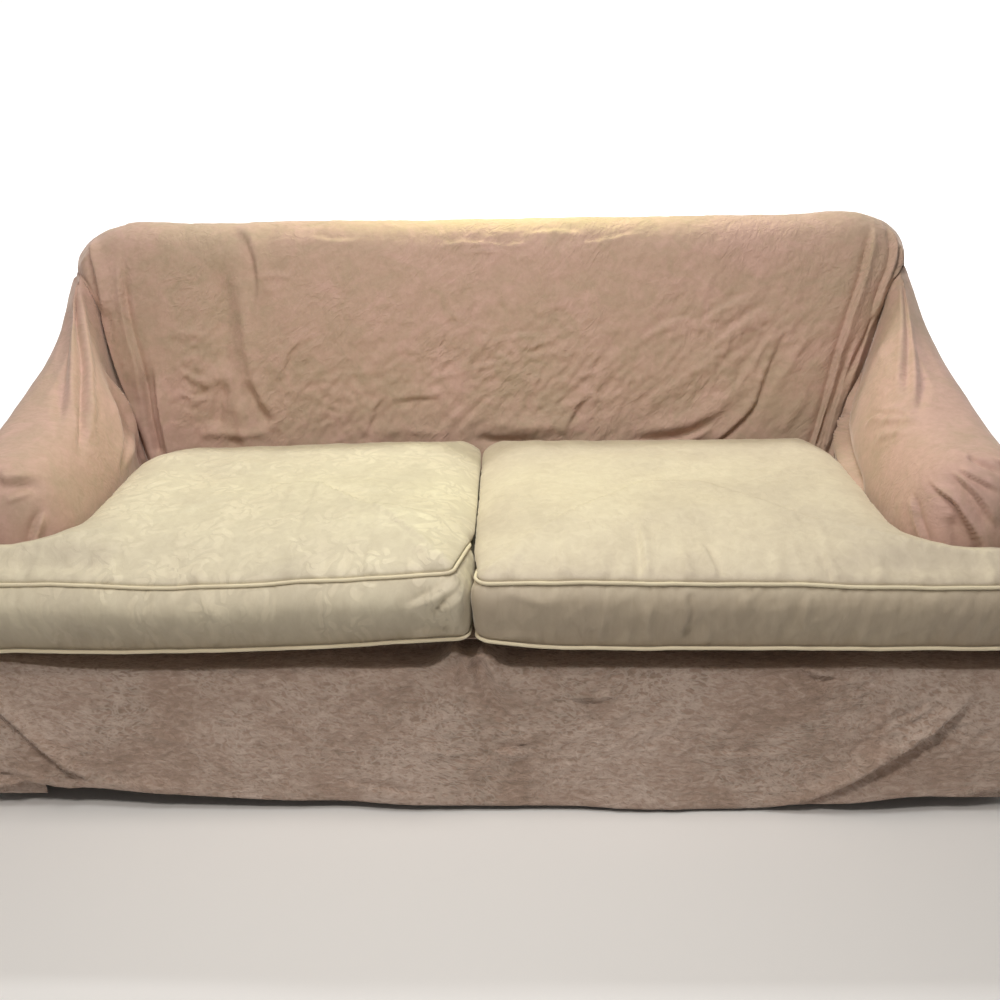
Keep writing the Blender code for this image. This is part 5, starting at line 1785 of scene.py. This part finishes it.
def skirt_material():
    """The velvet of the skirt and rear, more crushed: mottled, darker than the inside velvet as painted
    shade, with pale specks of painted sheen on its crush lines.
    """
    material, tree, shader = new_material("velvet_skirt", 0.84, 0.40, 0.45, (1.0, 0.90, 0.84))
    places = object_places(tree)
    cloud = noise_value(tree, places, 5.0, 2.0, 0.5, 0.3)
    streaks = stretched(tree, places, (0.6, 1.0, 1.3))
    patch = noise_value(tree, streaks, 80.0, 4.0, 0.65, 0.7)
    nap = noise_value(tree, places, 330.0, 1.0, 0.5, 0.0)
    value = calculated(tree, "MULTIPLY_ADD", patch, 0.7, product(tree, cloud, 0.3))
    tone = colours(tree, value, ((0.34, SKIRT_SHADE), (0.50, SKIRT_MID), (0.66, SKIRT_LIGHT)))
    lines = crush_lines(tree, places, 0.0085, 70.0, 1.7)
    # Pale specks in patches on the crush lines: painted sheen highlights
    where = ranged(tree, noise_value(tree, places, 7.0, 3.0, 0.6, 0.5), 0.36, 0.62)
    sheen_flecks = product(tree, lines, product(tree, where, 0.34))
    tone = blended(tree, sheen_flecks, tone, SKIRT_SHEEN_FLECK)
    tree.links.new(tone, shader.inputs["Base Color"])
    normal = bumped(tree, lines, 0.0012, 0.8)
    normal = bumped(tree, patch, 0.0022, 0.8, normal)
    normal = bumped(tree, nap, 0.00025, 0.5, normal)
    tree.links.new(normal, shader.inputs["Normal"])
    return material


def leaf_rosettes(tree, places, size, petals, curl, seed):
    """Leafy sprays: in each cell of about size, curved petals that point out from its middle."""
    moved = vector_step(tree, "ADD", places, (seed, seed * 0.7, 0.0))
    cells = tree.nodes.new("ShaderNodeTexVoronoi")
    cells.voronoi_dimensions = "2D"
    cells.inputs["Scale"].default_value = 1.0 / size
    cells.inputs["Randomness"].default_value = 0.75
    tree.links.new(moved, cells.inputs["Vector"])
    x, y, _ = coordinates(tree, vector_step(tree, "SUBTRACT", moved, cells.outputs["Position"]))
    angle = calculated(tree, "ARCTAN2", y, x)
    reach = calculated(tree, "SQRT", calculated(tree, "ADD", product(tree, x, x), product(tree, y, y)))
    turned = tree.nodes.new("ShaderNodeSeparateColor")
    tree.links.new(cells.outputs["Color"], turned.inputs[0])
    swirl = calculated(tree, "MULTIPLY_ADD", reach, curl / size, angle)
    swirl = calculated(tree, "MULTIPLY_ADD", turned.outputs[0], FULL_TURN, swirl)
    petal = calculated(tree, "ABSOLUTE", calculated(tree, "SINE", product(tree, swirl, petals)))
    petal = calculated(tree, "POWER", petal, 1.5)
    far = calculated(tree, "DIVIDE", reach, size * 0.62)
    body = ranged(tree, far, 0.15, 0.9, 1.0, 0.0)
    heart = ranged(tree, far, 0.05, 0.25, 0.0, 1.0)
    return product(tree, product(tree, petal, body), heart)


def cream_material(name, figure, tint, boxing_shade):
    """Cream cushion cloth with a tone-on-tone leafy figure, fine weave and a slight sheen, and painted shade
    that darkens its boxing towards the floor.
    """
    material, tree, shader = new_material(name, 0.62, 0.30, 0.45, (1.0, 0.96, 0.86))
    places = object_places(tree)
    wander = noise_value(tree, places, 18.0, 2.0, 0.5, 0.0)
    flat = vector_step(tree, "ADD", places, product(tree, wander, 0.05))
    large = leaf_rosettes(tree, flat, 0.125, 3.5, 2.2, 0.0)
    small = leaf_rosettes(tree, flat, 0.070, 2.5, -2.6, 3.1)
    leaves = calculated(tree, "MAXIMUM", large, product(tree, small, 0.8))
    leaves = ranged(tree, leaves, 0.18, 0.48)
    cloud = noise_value(tree, places, 5.0, 3.0, 0.55, 0.5)
    fade = ranged(tree, noise_value(tree, places, 4.0, 2.0, 0.5, 0.0), 0.35, 0.60, 0.25, 1.0)
    leaves = product(tree, leaves, product(tree, fade, figure))
    creams = (CREAM_SHADE, CREAM_MID, CREAM_LIGHT)
    shade, mid, light = (tuple(np.multiply(cream, tint)) for cream in creams)
    tone = colours(tree, cloud, ((0.35, shade), (0.52, mid), (0.68, light)))
    ground = product(tree, calculated(tree, "SUBTRACT", 1.0, leaves), 0.34 * figure)
    tone = blended(tree, ground, tone, CREAM_GROUND)
    crush = noise_value(tree, stretched(tree, places, (1.0, 1.0, 0.3)), 55.0, 4.0, 0.6, 0.9)
    tone = tinted(tree, tone, crush, ((0.32, (0.90, 0.89, 0.88)), (0.66, WHITE)))
    # Painted shade: the boxing darkened towards the floor
    low, high, stops = boxing_shade
    _, _, height = coordinates(tree, places)
    tone = tinted(tree, tone, ranged(tree, height, FLOOR_Z + low, FLOOR_Z + high), stops)
    tree.links.new(tone, shader.inputs["Base Color"])
    normal = bumped(tree, leaves, 0.0006, 0.6)
    normal = bumped(tree, crush, 0.0008, 0.5, normal)
    weave = noise_value(tree, places, 700.0, 1.0, 0.5, 0.0)
    normal = bumped(tree, weave, 0.0003, 0.6, normal)
    tree.links.new(normal, shader.inputs["Normal"])
    tree.links.new(ranged(tree, leaves, 0.0, 1.0, 0.66, 0.50), shader.inputs["Roughness"])
    return material


def welt_material():
    """The cushions' cloth cut on the bias over the welt cord, with its fine twill."""
    material, tree, shader = new_material("cream_welt", 0.68, 0.25, 0.45, (1.0, 0.96, 0.86))
    places = object_places(tree)
    cloud = noise_value(tree, places, 22.0, 3.0, 0.55, 0.3)
    tone = colours(tree, cloud, ((0.35, CREAM_MID), (0.65, CREAM_LIGHT)))
    tree.links.new(tone, shader.inputs["Base Color"])
    thread = tree.nodes.new("ShaderNodeTexWave")
    thread.wave_type = "BANDS"
    thread.bands_direction = "DIAGONAL"
    thread.inputs["Scale"].default_value = 260.0
    thread.inputs["Distortion"].default_value = 1.5
    tree.links.new(tree.nodes.new("ShaderNodeUVMap").outputs["UV"], thread.inputs["Vector"])
    normal = bumped(tree, thread.outputs["Fac"], 0.0003, 0.7)
    tree.links.new(normal, shader.inputs["Normal"])
    return material


# ---------------------------------------------------------------- room, light and camera

# The camera as fitted to the photograph, its place in the part's frame, its angles in degrees
CAMERA_PLACE = (0.066, -2.214, 0.3695)
CAMERA_YAW = 2.29
CAMERA_DOWN = 24.22
CAMERA_ROLL = -1.24
# Half width of the floor, and the wall that it turns up into
FLOOR_HALF = 14.0
WALL_Y = 7.5
WALL_HEIGHT = 9.0
WALL_BEND = 2.5
BEND_STEPS = 16
ROOM_LIGHT = (1.0, 0.92, 0.84)


def build_floor():
    """Plain pale sweep: a floor that turns up into a wall far behind."""
    mesh = bpy.data.meshes.new("studio_sweep")
    profile = [(-FLOOR_HALF, FLOOR_Z)]
    for step in range(BEND_STEPS + 1):
        angle = math.pi / 2 * step / BEND_STEPS
        rise = WALL_BEND * (1.0 - math.cos(angle))
        profile.append((WALL_Y - WALL_BEND + WALL_BEND * math.sin(angle), FLOOR_Z + rise))
    profile.append((WALL_Y, FLOOR_Z + WALL_HEIGHT))
    vertices = [(x, y, z) for y, z in profile for x in (-FLOOR_HALF, FLOOR_HALF)]
    faces = [(2 * row, 2 * row + 1, 2 * row + 3, 2 * row + 2) for row in range(len(profile) - 1)]
    mesh.from_pydata(vertices, [], faces)
    mesh.shade_smooth()
    floor = bpy.data.objects.new("studio_sweep", mesh)
    bpy.context.scene.collection.objects.link(floor)
    material = bpy.data.materials.new("pale_floor")
    material.use_nodes = True
    shader = material.node_tree.nodes["Principled BSDF"]
    shader.inputs["Base Color"].default_value = (*FLOOR_GREY, 1.0)
    shader.inputs["Roughness"].default_value = 0.9
    mesh.materials.append(material)


def area_light(name, place, target, size, power, colour):
    """A soft square light that looks at a place."""
    lamp = bpy.data.lights.new(name, "AREA")
    lamp.size = size
    lamp.energy = power
    lamp.color = colour
    holder = bpy.data.objects.new(name, lamp)
    bpy.context.scene.collection.objects.link(holder)
    holder.location = Vector(place) - Vector(HOLD_POINT)
    aim = Vector(target) - Vector(place)
    holder.rotation_euler = aim.to_track_quat("-Z", "Y").to_euler()
    return holder


def light_room():
    """Soft light from above and in front, a lamp behind the back's top and one on the far wall."""
    area_light("front_lamp", (-0.5, -1.35, 2.75), (0.0, 0.30, 0.45), 0.35, 28.5, ROOM_LIGHT)
    area_light("overhead_soft", (0.05, -0.35, 2.5), (0.0, 0.30, 0.45), 0.7, 23.0, (1.0, 0.98, 0.94))
    area_light("warm_lamp", (0.05, 0.98, 1.25), (0.05, 0.76, 0.85), 0.30, 3.3, (0.90, 1.0, 0.34))
    area_light("wall_wash", (0.0, 3.2, 4.6), (0.0, 7.0, 1.2), 3.0, 620.0, WHITE)
    world = bpy.data.worlds.new("pale_room")
    world.use_nodes = True
    background = world.node_tree.nodes["Background"]
    background.inputs["Color"].default_value = (*ROOM_LIGHT, 1.0)
    background.inputs["Strength"].default_value = 0.155
    bpy.context.scene.world = world
    bpy.context.scene.view_settings.view_transform = "Standard"


def place_camera():
    """Camera at the height of a standing person, looking down at the seat."""
    lens = bpy.data.cameras.new("camera")
    lens.lens = 39.6
    lens.sensor_width = 36.0
    lens.shift_x = 0.0182
    lens.shift_y = 0.0099
    camera = bpy.data.objects.new("camera", lens)
    bpy.context.scene.collection.objects.link(camera)
    yaw = Matrix.Rotation(math.radians(CAMERA_YAW), 4, "Z")
    tilt = Matrix.Rotation(math.radians(90.0 - CAMERA_DOWN), 4, "X")
    roll = Matrix.Rotation(math.radians(CAMERA_ROLL), 4, "Z")
    turn = yaw @ tilt @ roll
    camera.matrix_world = Matrix.Translation(CAMERA_PLACE) @ turn
    bpy.context.scene.camera = camera


# ---------------------------------------------------------------- whole part


def settle(piece, node):
    """Let a piece ride on the part in place of its node."""
    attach(piece, "root")
    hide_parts(node)


def build_all():
    velvet_back = velvet_material("velvet_back", 0.55, -38.0, WHITE)
    velvet_arm = velvet_material("velvet_arm", 0.3, 80.0, ARM_TINT)
    velvet_skirt = skirt_material()
    cream = {
        "left": cream_material("cream_leafy", 1.0, LEAFY_TINT, LEAFY_BOXING_SHADE),
        "right": cream_material("cream_plain", 0.5, PLAIN_TINT, PLAIN_BOXING_SHADE),
    }
    welt = welt_material()

    back = build_inside_back(velvet_back)
    settle(back, "inside_back")
    rear = build_outside_back(velvet_skirt)
    settle(rear, "outside_back")
    apron = build_front_apron(velvet_skirt)
    settle(apron, "front_apron")
    deck = build_deck(velvet_skirt)
    settle(deck, "deck")
    for shape, creases in zip(CUSHIONS, (LEFT_ARM_CREASES, RIGHT_ARM_CREASES)):
        side = shape.side
        mirrored = shape.mirrored
        arm = build_inside_arm(side, creases, shape.seed + 300.0, mirrored, velvet_arm)
        settle(arm, f"inside_arm_{side}")
        outer = build_outside_arm(side, shape.seed + 320.0, mirrored, velvet_skirt)
        settle(outer, f"outside_arm_{side}")
        flap = build_corner_flap(side, shape.seed + 340.0, mirrored, velvet_skirt)
        settle(flap, f"corner_flap_{side}")
        cushion = build_cushion(shape, cream[side])
        settle(cushion, f"seat_cushion_{side}")
        for level in ("lower", "upper"):
            cord = build_welt(shape, level, welt)
            settle(cord, f"welt_{level}_{side}")


build_all()
build_floor()
light_room()
place_camera()
